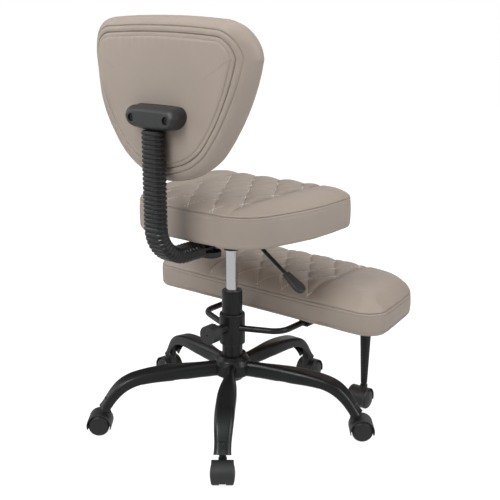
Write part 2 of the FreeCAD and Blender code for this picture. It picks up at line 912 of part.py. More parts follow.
# Height lever: a bent rod over the release pin, and its flat paddle
def make_lever():
    slope = math.radians(size("lever_slope"))
    height = size("lever_height")
    bend = size("lever_bend")
    reach = size("lever_reach")
    radius = size("lever_radius")
    turn = size("lever_bend_radius")
    grip = size("paddle_grip")
    tangent = turn * math.tan(slope / 2)
    down = Vector(-math.cos(slope), 0, -math.sin(slope))
    corner = Vector(-bend, 0, height)
    start = Vector(size("pin_radius"), 0, height)
    before = corner + Vector(tangent, 0, 0)
    after = corner + down * tangent
    paddle_start = corner + down * ((reach - bend) / math.cos(slope) - size("paddle_length") * 0.6)
    end = paddle_start + down * grip
    bend_centre = before - Vector(0, 0, turn)
    arc_middle = bend_centre + Vector(-math.sin(slope / 2), 0, math.cos(slope / 2)) * turn
    path = Part.Wire([
        Part.makeLine(start, before),
        Part.Arc(before, arc_middle, after).toShape(),
        Part.makeLine(after, end),
    ])
    ring = Part.Wire([Part.makeCircle(radius, start, Vector(-1, 0, 0))])
    rod = path.makePipeShell([ring], True, False)
    pin_radius = size("pivot_pin_radius") + size("running_gap")
    hole = Part.makeCylinder(pin_radius, 40, Vector(-size("lever_pivot"), -20, height), Vector(0, 1, 0))
    sub_part(feature("rod_shape", rod.cut(hole)), "lever_rod")
    paddle = paddle_shape(paddle_start, down)
    room = Part.makeCylinder(radius, grip, paddle_start, down)
    sub_part(feature("paddle_shape", paddle.cut(room)), "lever_paddle")


def paddle_shape(start, down):
    """A flat grip, narrow at the rod, whose straight sides run smoothly into its round end."""
    length = size("paddle_length")
    thick = size("paddle_thickness")
    neck = size("paddle_neck") / 2
    wide = size("paddle_width") / 2
    up = Vector(0, 1, 0).cross(down)
    side = Vector(0, 1, 0)
    low = start - up * (thick / 2)
    centre = length - wide
    turn = math.pi - math.atan2(neck, centre) - math.acos(wide / math.hypot(centre, neck))
    touch = (centre + wide * math.cos(turn), wide * math.sin(turn))
    corners = [(0, neck), touch, (length, 0), (touch[0], -touch[1]), (0, -neck)]
    a, b, tip, c, d = [low + down * out + side * across for out, across in corners]
    wire = Part.Wire([
        Part.makeLine(d, a),
        Part.makeLine(a, b),
        Part.Arc(b, tip, c).toShape(),
        Part.makeLine(c, d),
    ])
    solid = Part.Face(wire).extrude(up * thick)
    rims = [edge for edge in solid.Edges if is_rim(edge, up)]
    return solid.makeFillet(size("paddle_rounding"), rims)


def is_rim(edge, up):
    """True for the edges around the two flat faces."""
    return abs((edge.Vertexes[0].Point - edge.Vertexes[-1].Point).dot(up)) < 0.01


# J-bar: a flat bar with a slot for the clamp knob, bent up behind the seat
def make_bar():
    low_z = "bar_height - bar_thickness / 2"
    half = "bar_width / 2"
    bend_z = "bar_height + bar_bend_radius"
    inner = "bar_bend_radius - bar_thickness / 2"
    lower = block("bar_lower", "bar_width", "bar_bend_start - bar_front", "bar_thickness",
                  "-" + half, "bar_front", low_z)
    upper = block("bar_upper", "bar_width", "bar_thickness", "bar_top - (%s)" % bend_z, "-" + half,
                  "bar_bend_start + " + inner, bend_z)
    sector = cylinder("bar_bend_outer", "bar_bend_radius + bar_thickness / 2", "bar_width", "-" + half,
                      "bar_bend_start", bend_z, Vector(0, 1, 0), 90)
    sector.Angle = 90
    core = cylinder("bar_bend_inner", inner, "bar_width", "-" + half, "bar_bend_start", bend_z,
                    Vector(0, 1, 0), 90)
    bend = cut("bar_bend", sector, core)
    slot_width = "2 * knob_stud_radius + 1"
    slot = fuse(
        "bar_slot",
        block("slot_middle", slot_width, "bar_slot_rear - bar_slot_front - (%s)" % slot_width, "20",
              "-(%s) / 2" % slot_width, "bar_slot_front + (%s) / 2" % slot_width, low_z + " - 5"),
        cylinder("slot_front", "(%s) / 2" % slot_width, "20", "0",
                 "bar_slot_front + (%s) / 2" % slot_width, low_z + " - 5"),
        cylinder("slot_rear", "(%s) / 2" % slot_width, "20", "0",
                 "bar_slot_rear - (%s) / 2" % slot_width, low_z + " - 5"),
    )
    rear = "bar_bend_start + bar_bend_radius + 15"
    holes = [along_y("bar_hole_%d" % number, "bolt_radius", "40", "0", rear, z)
             for number, z in enumerate(bracket_bolt_heights())]
    tools = fuse("bar_tools", slot, *holes)
    sub_part(cut("bar", fuse("bar_solid", lower, bend, upper), tools), "j_bar")
    knob_low = "bar_knob_bottom"
    rim = cylinder("bar_knob_drum", "bar_knob_radius", "bar_knob_height", "0", "bar_knob_place", knob_low)
    dish = cylinder("bar_knob_dish", "bar_knob_radius - 3", "6", "0", "bar_knob_place",
                    knob_low + " + bar_knob_height - 5")
    boss = cylinder("bar_knob_boss", "9", "bar_knob_height - 1", "0", "bar_knob_place", knob_low)
    stud = cylinder("bar_knob_stud", "knob_stud_radius", "34", "0", "bar_knob_place", knob_low + " + 1")
    knob = fuse("bar_knob", cut("bar_knob_cup", rim, dish), boss, stud)
    sub_part(knob, "j_bar_knob")


def bracket_bolt_heights():
    return ("cover_bottom + 20", "cover_bottom + 36")


def boot_spots():
    """Places along the boot's middle line: centre, direction of travel, from the front to the top."""
    height = size("bar_height")
    radius = size("bar_bend_radius")
    start = size("boot_front")
    corner = size("bar_bend_start")
    top = size("cover_bottom") + size("boot_entry")
    straight = corner - start
    bend = radius * math.pi / 2
    rise = top - (height + radius)
    total = straight + bend + rise

    def at(distance):
        if distance <= straight:
            return Vector(0, start + distance, height), 0.0
        if distance <= straight + bend:
            angle = (distance - straight) / radius
            middle = Vector(0, corner, height + radius)
            return middle + Vector(0, math.sin(angle), -math.cos(angle)) * radius, angle
        left = distance - straight - bend
        return Vector(0, corner + radius, height + radius + left), math.pi / 2

    return total, at


def boot_ring(centre, angle, shrink):
    """An eight-sided section, square to the middle line."""
    half_w = size("boot_width") / 2 - shrink
    half_d = size("boot_depth") / 2 - shrink
    chamfer = size("boot_chamfer") - shrink * 0.4
    up = Vector(0, -math.sin(angle), math.cos(angle))
    side = Vector(1, 0, 0)
    flat_w = half_w - chamfer
    flat_d = half_d - chamfer
    corners = [(half_w, flat_d), (flat_w, half_d), (-flat_w, half_d), (-half_w, flat_d),
               (-half_w, -flat_d), (-flat_w, -half_d), (flat_w, -half_d), (half_w, -flat_d)]
    spots = [centre + side * across + up * high for across, high in corners]
    return Part.makePolygon([*spots, spots[0]])


# Boot: a ribbed hose around the J-bar, with its bore
def make_boot():
    total, at = boot_spots()
    count = round(total / size("boot_pitch"))
    pitch = total / count
    rib = size("boot_rib")
    wall = size("boot_wall")
    outer = []
    for number in range(count):
        for share, shrink in ((0.08, rib), (0.34, 0), (0.66, 0), (0.92, rib)):
            outer.append(boot_ring(*at((number + share) * pitch), shrink))
    outer.insert(0, boot_ring(*at(0), rib))
    outer.append(boot_ring(*at(total), rib))
    inner = [boot_ring(*at(number * pitch), rib + wall) for number in range(count + 1)]
    solid = Part.makeLoft(outer, True, True).cut(Part.makeLoft(inner, True, True))
    sub_part(feature("boot", solid), "j_bar_boot")


# Backrest: cushion, board, rear panel, bracket, cover and screws
def make_back():
    nodes = back_nodes()
    rear = size("back_rear")
    front = size("back_front")
    deep = rear - front
    thick = size("board_thickness")
    gap = size("loose_gap")
    cushion = shell_of(nodes, [
        (rear, 16),
        (rear - deep * 0.07, 7),
        (rear - deep * 0.22, 1),
        (rear - deep * 0.45, 0),
        (rear - deep * 0.66, 5),
        (rear - deep * 0.84, 18),
        (rear - deep * 0.95, 42),
        (front, 70),
    ], upright_spot)
    board = slab_of(nodes, size("back_board_inset"), rear - thick, thick, upright_spot)
    recess = slab_of(nodes, size("back_board_inset") - gap, rear - thick, thick, upright_spot)
    panel = slab_of(nodes, size("back_seam_inset"), rear, size("back_panel"), upright_spot)
    face = rear + size("back_panel")
    screw_room = [Part.makeCylinder(size("bolt_radius"), face - rear + thick,
                                    Vector(x, rear - thick, cover_screw_height()), Vector(0, 1, 0))
                  for x in cover_screw_places()]
    rooms = screw_room[0].fuse(screw_room[1])
    sub_part(feature("back_pad", cushion.cut(recess)), "back_cushion")
    sub_part(feature("back_ply", board.cut(rooms)), "back_board")
    sub_part(feature("back_skin", panel.cut(rooms)), "back_rear_panel")


def cover_screw_places():
    half = size("cover_screw_spacing") / 2
    return (half, -half)


def cover_screw_height():
    return (size("cover_bottom") + size("cover_top")) / 2


def cover_outline(level, inset):
    """A long rounded shape, fuller above than below."""
    wide = size("cover_half_width") - inset
    low = size("cover_bottom") + inset
    high = size("cover_top") - inset
    middle = (low + high) / 2 + 4
    nodes = mirrored([
        (0, low),
        (wide * 0.28, low + 0.6),
        (wide * 0.55, low + 3),
        (wide * 0.90, middle - 14),
        (wide, middle),
        (wide * 0.93, high - 7),
        (wide * 0.74, high - 1),
        (wide * 0.37, high - 0.2),
        (0, high),
    ])
    return smooth_outline(nodes, 0, level, upright_spot)


def make_cover():
    base = size("back_rear") + size("back_panel")
    depth = size("cover_depth")
    wall = size("cover_wall")
    taper = size("cover_taper")
    outer_levels = [(0, 0), (0.5, 1.5), (0.82, taper * 0.5), (0.96, taper), (1, taper + 4)]
    shell = Part.makeLoft([cover_outline(base + depth * share, inset) for share, inset in outer_levels],
                          True, False)
    inner = Part.makeLoft([cover_outline(base + (depth - wall) * share, inset + wall)
                           for share, inset in ((0, 0), (0.5, 1.5), (1, taper))], True, False)
    half_bar = size("bar_width") / 2 + 1
    bar_y = size("bar_bend_start") + size("bar_bend_radius")
    bar_half = size("bar_thickness") / 2 + 1
    mouth = Part.makeBox(2 * half_bar, 2 * bar_half, 20,
                         Vector(-half_bar, bar_y - bar_half, size("cover_bottom") - 10))
    shape = shell.cut(inner).cut(mouth)
    recess = size("recess_radius")
    sink = size("recess_depth")
    bolt = size("bolt_radius")
    height = cover_screw_height()
    plate = size("bracket_plate")
    for x in cover_screw_places():
        post = Part.makeCylinder(recess + 2, depth - 1 - plate, Vector(x, base + plate, height),
                                 Vector(0, 1, 0))
        pocket = Part.makeCylinder(recess, depth, Vector(x, base + depth - sink, height), Vector(0, 1, 0))
        hole = Part.makeCylinder(bolt, depth, Vector(x, base, height), Vector(0, 1, 0))
        shape = shape.fuse(post.common(shell)).cut(pocket).cut(hole)
    sub_part(feature("cover", shape), "bracket_cover")
    screws = []
    for x in cover_screw_places():
        seat = base + depth - sink
        shank = Part.makeCylinder(bolt, seat - size("back_rear") + size("board_thickness"),
                                  Vector(x, size("back_rear") - size("board_thickness"), height),
                                  Vector(0, 1, 0))
        head = Part.makeCylinder(size("bolt_head_radius"), size("bolt_head_height"),
                                 Vector(x, seat, height), Vector(0, 1, 0))
        drive_hole = Part.makeBox(2, 3, 7, Vector(x - 1, seat + 2, height - 3.5))
        cross_hole = Part.makeBox(7, 3, 2, Vector(x - 3.5, seat + 2, height - 1))
        screws.append(shank.fuse(head).cut(drive_hole).cut(cross_hole))
    sub_part(feature("screws", Part.makeCompound(screws)), "cover_screws")


# Bracket: a hat-shaped plate between the back board and the J-bar, and the two bolts of the bar
def make_bracket():
    face = "back_rear + back_panel"
    low = "cover_bottom + 10"
    bar_front = "bar_bend_start + bar_bend_radius - bar_thickness / 2"
    plate = block("bracket_base", "2 * bracket_half_width", "bracket_plate", "bracket_height",
                  "-bracket_half_width", face, low)
    hat = block("bracket_hat", "44", bar_front + " - (%s)" % face, "bracket_height", "-22", face, low)
    rooms = [along_y("bracket_screw_room_%d" % number, "bolt_radius", "30", x, face + " + 20",
                     "(cover_bottom + cover_top) / 2")
             for number, x in enumerate(("cover_screw_spacing / 2", "-cover_screw_spacing / 2"))]
    bolt_rooms = [along_y("bracket_bolt_room_%d" % number, "bolt_radius", "12", "0", bar_front + " + 1", z)
                  for number, z in enumerate(bracket_bolt_heights())]
    solid = fuse("bracket_solid", plate, hat)
    sub_part(cut("bracket", solid, fuse("bracket_rooms", *rooms, *bolt_rooms)), "back_bracket")
    rear = "bar_bend_start + bar_bend_radius + bar_thickness / 2"
    bolts = []
    for number, z in enumerate(bracket_bolt_heights()):
        head = along_y("bar_bolt_head_%d" % number, "bolt_head_radius", "bolt_head_height", "0",
                       rear + " + bolt_head_height", z)
        shank = along_y("bar_bolt_shank_%d" % number, "bolt_radius", "bar_thickness + 10", "0", rear, z)
        bolts.append(fuse("bar_bolt_%d" % number, head, shank))
    sub_part(group("bar_bolt_set", *bolts), "bracket_bolts")


# Stool: collar with its bush and knob, two arms, clamps, board, cushion and tapered legs
def make_collar():
    bore = "collar_radius - collar_wall"
    sleeve = turned("sleeve", [
        (bore, "collar_bottom"),
        ("collar_radius", "collar_bottom"),
        ("collar_radius", "collar_top"),
        (bore, "collar_top"),
    ])
    boss = along_y("knob_boss", "knob_boss_radius", "knob_boss_end - collar_radius + 4", "0",
                   "knob_boss_end", "arm_height")
    solid = fuse("collar_solid", sleeve, boss)
    bore_room = cylinder("collar_bore", bore, "collar_top - collar_bottom", z="collar_bottom")
    stud_room = along_y("collar_stud_room", "knob_stud + running_gap", "40", "0", "knob_boss_end + 5",
                        "arm_height")
    rooms = fuse("collar_rooms", bore_room, stud_room)
    sub_part(cut("collar", solid, rooms), "stool_collar")
    inner = "column_radius + collar_gap"
    lining = turned("lining", [
        (inner, "collar_bottom - bush_flange"),
        (bore, "collar_bottom - bush_flange"),
        (bore, "collar_top"),
        ("collar_radius - 0.5", "collar_top"),
        ("collar_radius - 0.5", "collar_top + bush_flange"),
        (inner, "collar_top + bush_flange"),
    ])
    tip_room = along_y("bush_stud_room", "knob_stud + 0.3", "20", "0", "knob_boss_end - 10", "arm_height")
    sub_part(cut("lining_bored", lining, tip_room), "collar_bush")
    head = along_y("knob_head", "knob_radius", "knob_face - knob_head_start", "0", "knob_face",
                   "arm_height")
    neck = along_y("knob_neck", "knob_neck_radius", "knob_head_start - knob_boss_end - 1", "0",
                   "knob_head_start", "arm_height")
    stud = along_y("knob_stud_shaft", "knob_stud", "knob_boss_end + 2 - column_radius - loose_gap", "0",
                   "knob_boss_end + 2", "arm_height")
    dimple = along_y("knob_dimple", "2.5", "3", "0", "knob_face + 1", "arm_height")
    sub_part(cut("knob", fuse("knob_solid", head, neck, stud), dimple), "collar_knob")


def make_arm(label, side):
    """A round tube from the collar, bent to run forwards under the board."""
    height = size("arm_height")
    spread = size("arm_spread")
    turn = size("arm_bend_radius")
    radius = size("arm_radius")
    start = Vector(side * (size("collar_radius") - 4), 4, height)
    corner = Vector(side * spread, -size("arm_corner"), height)
    end = Vector(side * spread, -size("arm_end"), height)
    first = (corner - start).normalize()
    second = (end - corner).normalize()
    half_turn = first.getAngle(second) / 2
    tangent = turn * math.tan(half_turn)
    before = corner - first * tangent
    after = corner + second * tangent
    inward = (second - first).normalize()
    centre = corner + inward * (turn / math.cos(half_turn))
    path = Part.Wire([
        Part.makeLine(start, before),
        Part.Arc(before, centre - inward * turn, after).toShape(),
        Part.makeLine(after, end),
    ])
    ring = Part.Wire([Part.makeCircle(radius, start, first)])
    bore = Part.Wire([Part.makeCircle(radius - 1.5, start, first)])
    tube = path.makePipeShell([ring], True, False).cut(path.makePipeShell([bore], True, False))
    collar = Part.makeCylinder(size("collar_radius"), 60, Vector(0, 0, height - 30))
    sub_part(feature(label + "_tube", tube.cut(collar)), label)


def clamp_places():
    return [(side, y) for side in (-1, 1) for y in (-150, -300)]


def make_stool():
    nodes = stool_nodes()
    bottom = size("stool_bottom")
    thick = size("board_thickness")
    margin = size("board_margin")
    crown = size("stool_crown")
    board = slab_of(nodes, margin, bottom, thick, flat_spot)
    recess = slab_of(nodes, margin - size("loose_gap"), bottom, thick, flat_spot)
    seam = size("stool_seam")
    cushion = horizontal_cushion(nodes, bottom, seam, crown)
    top = crown + size("channel_depth")
    panel = panel_between("stool", -size("stool_rear"), -size("stool_front"), seam, top)
    blades = quilt_lines("stool", seam, top)
    sub_part(feature("stool_ply", board), "stool_board")
    sub_part(feature("stool_pad", quilted(cushion.cut(recess), panel, blades)), "stool_cushion")
    clamps = []
    height = size("arm_height")
    radius = size("arm_radius")
    wide = size("clamp_width")
    long = size("clamp_length")
    low = height - radius - size("clamp_under")
    for side, y in clamp_places():
        x = side * size("arm_spread")
        saddle = Part.makeBox(wide, long, bottom - low, Vector(x - wide / 2, y - long / 2, low))
        tube = Part.makeCylinder(radius, 2 * long, Vector(x, y - long, height), Vector(0, 1, 0))
        edges = [edge for edge in saddle.Edges if abs(edge.CenterOfMass.z - low) < 0.01
                 and abs(edge.Vertexes[0].Y - edge.Vertexes[1].Y) > 1]
        clamps.append(saddle.makeFillet(8, edges).cut(tube))
    sub_part(feature("clamps", Part.makeCompound(clamps)), "stool_clamps")
    plate_z = "stool_bottom - stool_leg_plate"
    low_z = "socket_height"
    shaft = cone("leg_shaft", "stool_leg_bottom_radius", "stool_leg_top_radius",
                 plate_z + " - " + low_z, z=low_z)
    plate = cylinder("leg_plate", "stool_leg_plate_radius", "stool_leg_plate", z=plate_z)
    bore = cylinder("leg_bore", "stem_radius", "socket_depth", z=low_z)
    blank = cut("stool_leg_blank", fuse("stool_leg_solid", shaft, plate), bore)
    sub_part(placed("leg_right", blank, "-stool_leg_x", "-stool_leg_y", 0), "stool_leg_right")
    sub_part(placed("leg_left", blank, "stool_leg_x", "-stool_leg_y", 0), "stool_leg_left")


def check_and_export():
    """Stop on any failed object or bad solid, and then write one file per sub-part."""
    doc.recompute()
    failed = [item.Name for item in doc.Objects if {"Invalid", "Error"} & set(item.State)]
    for item in PARTS:
        shape = item.Shape
        if shape.isNull() or not shape.isValid() or not shape.Solids:
            failed.append(item.Label)
    if failed:
        raise RuntimeError("failed: " + ", ".join(failed))
    os.makedirs("parts", exist_ok=True)
    for item in PARTS:
        item.Shape.exportStep("parts/%s.step" % item.Label)
        print("%-18s solids %2d  volume %.0f" % (item.Label, len(item.Shape.Solids), item.Shape.Volume))


make_column()
hub = make_hub()
trimmed_leg = make_leg(hub)
for number, angle in enumerate(BASE_LEG_ANGLES, start=1):
    sub_part(placed("leg_%d" % number, trimmed_leg, "0", "0", angle), "base_leg_%d" % number)
make_casters(make_caster_blanks())
make_mechanism()
make_seat()
make_lever()
make_bar()
make_boot()
make_back()
make_bracket()
make_cover()
make_collar()
make_arm("stool_arm_right", -1)
make_arm("stool_arm_left", 1)
make_stool()
check_and_export()
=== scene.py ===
import json
import math

import bmesh
import bpy
import numpy as np
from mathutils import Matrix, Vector, noise
from mathutils.bvhtree import BVHTree


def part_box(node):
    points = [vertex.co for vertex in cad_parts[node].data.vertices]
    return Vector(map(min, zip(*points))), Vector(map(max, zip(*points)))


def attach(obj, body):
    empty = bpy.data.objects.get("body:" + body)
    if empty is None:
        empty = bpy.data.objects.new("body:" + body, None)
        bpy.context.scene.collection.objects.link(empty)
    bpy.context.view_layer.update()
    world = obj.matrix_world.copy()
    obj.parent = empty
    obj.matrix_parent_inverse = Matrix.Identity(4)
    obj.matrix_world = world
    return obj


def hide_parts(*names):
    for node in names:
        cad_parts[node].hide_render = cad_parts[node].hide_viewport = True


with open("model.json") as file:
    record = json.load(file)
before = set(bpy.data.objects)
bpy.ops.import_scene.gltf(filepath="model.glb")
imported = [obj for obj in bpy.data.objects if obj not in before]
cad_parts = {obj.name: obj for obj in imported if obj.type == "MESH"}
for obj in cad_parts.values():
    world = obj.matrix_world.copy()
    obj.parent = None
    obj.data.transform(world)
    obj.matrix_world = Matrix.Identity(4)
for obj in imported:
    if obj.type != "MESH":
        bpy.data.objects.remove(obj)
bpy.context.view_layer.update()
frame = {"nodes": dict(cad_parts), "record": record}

# Kneeling chair in taupe leather on a black five-leg base, seen from behind and from its right side.
# All lengths are in metres, in the same frame as the construction: floor at z = 0, gas column at x = y = 0.

MM = 0.001
NODES = frame["nodes"]

# Camera: azimuth 39 degrees off the chair's back, 15.6 degrees above the horizon
CAMERA_PLACE = Vector((-1.38863, 1.64578, 1.03778))
CAMERA_BACK = Vector((-0.60620, 0.74860, 0.26859))
CAMERA_LENS = 67.07
SENSOR = 36

# Soft lamps: azimuth and elevation round the chair in degrees, distance, width, height, watts, and
# whether glossy pieces mirror them
LAMPS = {
    "key": (178, 38, 2.6, 1.3, 1.3, 46, True),
    "right_wall": (285, 22, 2.6, 1.0, 1.8, 32, True),
    "left_wall": (120, 20, 2.8, 1.0, 1.8, 16, True),
    "front_fill": (30, 30, 2.8, 1.6, 1.6, 10, False),
    "overhead": (219, 82, 2.2, 1.6, 1.6, 46, False),
}
LAMP_TARGET = Vector((0, 0, 0.55))

# Studio: how bright the walls and the floor are by themselves, to the camera and in mirrored light
WORLD_LEVEL = 0.55
STRIP_COUNT = 5
STRIP_TURN = 1.1
FLAG_LEVEL = 0.06
STRIP_LEVEL = 0.75
FLOOR_REACH = 30.0
FLOOR_GLOW = 1.24
FLOOR_GLOW_SHARE = 0.72
FLOOR_MIRRORED = 0.62

# Construction nodes: welding, edge rounding by slot, and the angle over which shading breaks
WELD_DISTANCE = 0.005 * MM
EDGE_ROUNDING = {
    "black_paint": 0.8 * MM,
    "black_plastic": 1.2 * MM,
    "caster_nylon": 0.5 * MM,
    "boot_rubber": 0.7 * MM,
    "dark_bolts": 0.4 * MM,
}
ROUNDED_FACES = 9000
ROUNDED_ANGLE = math.radians(35)
BROKEN_ANGLE = math.radians(32)
NORMAL_WEIGHT = 80

# Cushion meshes
MESH_STEP = 2.3 * MM
ARC_STEPS = 40
MERGE_DISTANCE = 0.05 * MM

# Seat and knee stool: outlines, seam heights, and the plywood board's recess below
STOOL_FULLNESS = 1.03
SEAT_SEAM = 566 * MM
STOOL_SEAM = 319 * MM
SEAT_CORE = 30 * MM
BOARD_MARGIN = 22 * MM
BOARD_ROOM = 12.4 * MM
FOOT_RADIUS = 9 * MM
FOOT_TUCK = 8 * MM
BOXING_PULL = 1.4 * MM
# Steps of the welted seam: distance inside the outline and height over the seam, in millimetres
SEAM_LIP = [(1.4, -8.0), (1.5, -6.9), (1.9, -6.2), (1.5, -5.5), (1.2, -4.2), (1.3, -2.6), (2.0, -1.3),
            (3.4, -0.3), (5.0, 0.2), (3.9, 0.8), (3.3, 1.8), (3.6, 3.0)]
LIP_HEIGHT = 3 * MM
TOP_START = 5.2 * MM
CROWN_REACH = 88 * MM
CROWN_POWER = 3.0

# Quilting of the middle panels: pitch, where the pattern starts along y, and half the panel's width
SEAT_QUILT = {"pitch": 62 * MM, "start": 39 * MM, "half": 124 * MM}
STOOL_QUILT = {"pitch": 64 * MM, "start": -214 * MM, "half": 162 * MM}
QUILT_ANGLE = math.radians(56.5)
QUILT_RISE = 7.5 * MM
PUFF_POWER = 0.42
QUILT_BORDER = 14 * MM
QUILT_MARGIN = 9 * MM
PANEL_SHOULDER = 26 * MM
SHOULDER_SHARE = 0.75
SEAM_DEPTH = 2.4 * MM
SEAM_WIDTH = 2.2 * MM

# Sewing thread
STITCH_LENGTH = 4.2 * MM
STITCH_GAP = 1.9 * MM
STITCH_RADIUS = 0.55 * MM
TOPSTITCH_DROP = 6 * MM
THREAD_SIDES = 6
SHORTEST_RUN = 4
RAY_STEP = 0.55 * MM

# Backrest: its widest height, its rear seams' distances from the outline, and its bend round the sitter
BACK_WIDEST = 905 * MM
BACK_NARROWING = 0.965
BACK_CORE = 60 * MM
BACK_CORE_RISE = 15 * MM
ZIP_SEAM = 33 * MM
PANEL_SEAM = 46 * MM
PANEL_OVERLAP = 4.4 * MM
PANEL_BASE = 0.2 * MM
BACK_BOARD_ROOM = 59.6 * MM
WRAP_START = 165 * MM
WRAP_DEPTH = 30 * MM
# Folded band round the rear panel: distance inside the outline and height over the rear, in millimetres
PLACKET = [(46.0, 0.0), (45.0, 1.2), (44.0, 2.6), (42.5, 3.3), (40.0, 3.6), (37.0, 3.4), (35.0, 2.9),
           (34.0, 2.0), (33.3, 0.2), (32.6, -0.6), (32.0, 1.3), (31.0, 2.3), (29.0, 2.9),
           (26.0, 2.9), (23.5, 2.5), (22.0, 1.7), (21.0, 0.4), (20.2, -1.0), (19.4, -0.4), (18.4, 0.4),
           (17.0, 0.2), (15.0, -0.3), (12.5, -1.4), (10.0, -3.0), (7.5, -5.2), (5.0, -8.4),
           (3.0, -12.2), (1.4, -17.0), (0.5, -22.5), (0.1, -28.5), (0.0, -34.0)]
SIDE_PULL = 4.5 * MM
# Front seam: distance inside the outline in millimetres, and its place as a share of the depth
FRONT_GROOVE = [(4.9, 0.655), (6.6, 0.668), (8.2, 0.676), (7.4, 0.69), (8.6, 0.71)]
BACK_CROWN_REACH = 72 * MM
BACK_CROWN_POWER = 2.6
# Rolled edge of the rear panel: distance inside its outline in millimetres, and share of its thickness
PANEL_ROLL = [(0.2, 0.22), (0.0, 0.42), (0.5, 0.62), (1.7, 0.78), (3.4, 0.88), (6.0, 0.935), (9.0, 0.95)]


def make_camera():
    data = bpy.data.cameras.new("photo_camera")
    data.lens = CAMERA_LENS
    data.sensor_width = SENSOR
    camera = bpy.data.objects.new("photo_camera", data)
    bpy.context.scene.collection.objects.link(camera)
    camera.location = CAMERA_PLACE
    camera.rotation_mode = "QUATERNION"
    camera.rotation_quaternion = (-CAMERA_BACK).to_track_quat("-Z", "Y")
    bpy.context.scene.camera = camera


# Materials

class Nodes:
    """A node tree that is put together by short calls."""

    def __init__(self, tree):
        self.tree = tree

    def add(self, kind, **inputs):
        node = self.tree.nodes.new(kind)
        for key, value in inputs.items():
            self.put(node.inputs[key.replace("_", " ")], value)
        return node

    def put(self, socket, value):
        if isinstance(value, bpy.types.NodeSocket):
            self.tree.links.new(value, socket)
        else:
            socket.default_value = value

    def spread(self, value, low, high, from_low=0.0, from_high=1.0):
        node = self.add("ShaderNodeMapRange", Value=value, From_Min=from_low, From_Max=from_high,
                        To_Min=low, To_Max=high)
        return node.outputs["Result"]

    def math(self, operation, *values):
        node = self.add("ShaderNodeMath")
        node.operation = operation
        for socket, value in zip(node.inputs, values):
            self.put(socket, value)
        return node.outputs[0]

    def mix(self, amount, first, second):
        return self.add("ShaderNodeMix", Factor=amount, A=first, B=second).outputs["Result"]


class Look(Nodes):
    """A material round one Principled shader, with its textures in the object's own coordinates."""

    def __init__(self, name):
        self.material = bpy.data.materials.new(name)
        self.material.use_nodes = True
        super().__init__(self.material.node_tree)
        self.shader = self.tree.nodes["Principled BSDF"]
        self.place = self.add("ShaderNodeTexCoord").outputs["Object"]

    def set(self, **inputs):
        for key, value in inputs.items():
            self.put(self.shader.inputs[key.replace("_", " ")], value)

    def stretched(self, x, y, z):
        node = self.add("ShaderNodeMapping", Scale=(x, y, z), Vector=self.place)
        return node.outputs["Vector"]

    def noise(self, scale, detail=2.0, roughness=0.5, place=None):
        node = self.add("ShaderNodeTexNoise", Scale=scale, Detail=detail, Roughness=roughness,
                        Vector=place or self.place)
        return node.outputs["Fac"]

    def cells(self, scale):
        return self.add("ShaderNodeTexVoronoi", Scale=scale, Vector=self.place).outputs["Distance"]

    def blend(self, amount, first, second, mode="MIX"):
        node = self.add("ShaderNodeMix")
        node.data_type = "RGBA"
        node.blend_type = mode
        self.put(node.inputs["Factor"], amount)
        self.put(node.inputs[6], first)
        self.put(node.inputs[7], second)
        return node.outputs[2]

    def bump(self, height, distance, strength=1.0, normal=None):
        node = self.add("ShaderNodeBump", Strength=strength, Distance=distance, Height=height)
        if normal is not None:
            self.put(node.inputs["Normal"], normal)
        return node.outputs["Normal"]


def grey(value, tint=0.0):
    return (value * (1 - tint), value, value * (1 + tint), 1.0)


def leather(name, colour, lighter, darker):
    """Smooth coated leather: soft mottling, a fine pebbled grain, and painted shade that darkens its creases
    and hollows.
    """
    m = Look(name)
    cloud = m.noise(7.0, 3.0)
    fleck = m.noise(420.0, 2.0)
    tone = m.blend(m.spread(cloud, 0.0, 1.0, 0.3, 0.7), darker, lighter)
    tone = m.blend(0.55, tone, colour)
    tone = m.blend(m.spread(fleck, 0.0, 0.12), tone, darker)
    # Painted shade: pointiness darkens the leather's colour in creases and hollows, where shade would fall.
    crease = m.add("ShaderNodeNewGeometry").outputs["Pointiness"]
    painted_shade = m.spread(crease, 0.45, 1.0, 0.42, 0.492)
    tone = m.blend(1.0, tone, m.blend(painted_shade, (0.42, 0.38, 0.36, 1), (1, 1, 1, 1)), "MULTIPLY")
    m.set(Base_Color=tone, Roughness=m.spread(m.noise(35.0), 0.44, 0.56), Specular_IOR_Level=0.42)
    grain = m.math("ADD", m.cells(850.0), m.math("MULTIPLY", m.noise(1900.0, 3.0), 0.6))
    pebbles = m.bump(grain, 0.16 * MM, 0.7)
    m.set(Normal=m.bump(m.noise(26.0, 2.0), 1.2 * MM, 0.35, pebbles))
    return m.material


def powder_coat(name):
    """Gloss black powder coat with a faint orange peel."""
    m = Look(name)
    tone = m.blend(m.noise(14.0), grey(0.0045, 0.06), grey(0.0075, 0.09))
    m.set(Base_Color=tone, Roughness=m.spread(m.noise(60.0, 3.0), 0.3, 0.4), Specular_IOR_Level=0.36)
    m.set(Normal=m.bump(m.noise(330.0, 1.0), 0.06 * MM, 0.3))
    return m.material


def moulded(name, tone, smoothest, roughest, grain, depth):
    """Moulded black plastic with a spark-eroded texture."""
    m = Look(name)
    m.set(Base_Color=m.blend(m.noise(30.0), grey(tone * 0.8, 0.03), grey(tone * 1.15, 0.05)))
    m.set(Roughness=m.spread(m.noise(120.0, 3.0), smoothest, roughest))
    m.set(Normal=m.bump(m.noise(grain, 3.0, 0.65), depth, 0.6))
    return m.material


def polished(name, tone, smoothest, roughest):
    """Bright metal with fine lines along the tube and slight handling marks."""
    m = Look(name)
    lines = m.noise(900.0, 3.0, 0.6, m.stretched(1.0, 1.0, 0.02))
    m.set(Base_Color=m.blend(m.noise(25.0), grey(tone * 0.93), grey(tone, 0.015)), Metallic=1.0)
    m.set(Roughness=m.spread(m.noise(45.0, 4.0), smoothest, roughest))
    m.set(Normal=m.bump(lines, 0.02 * MM, 0.5))
    return m.material


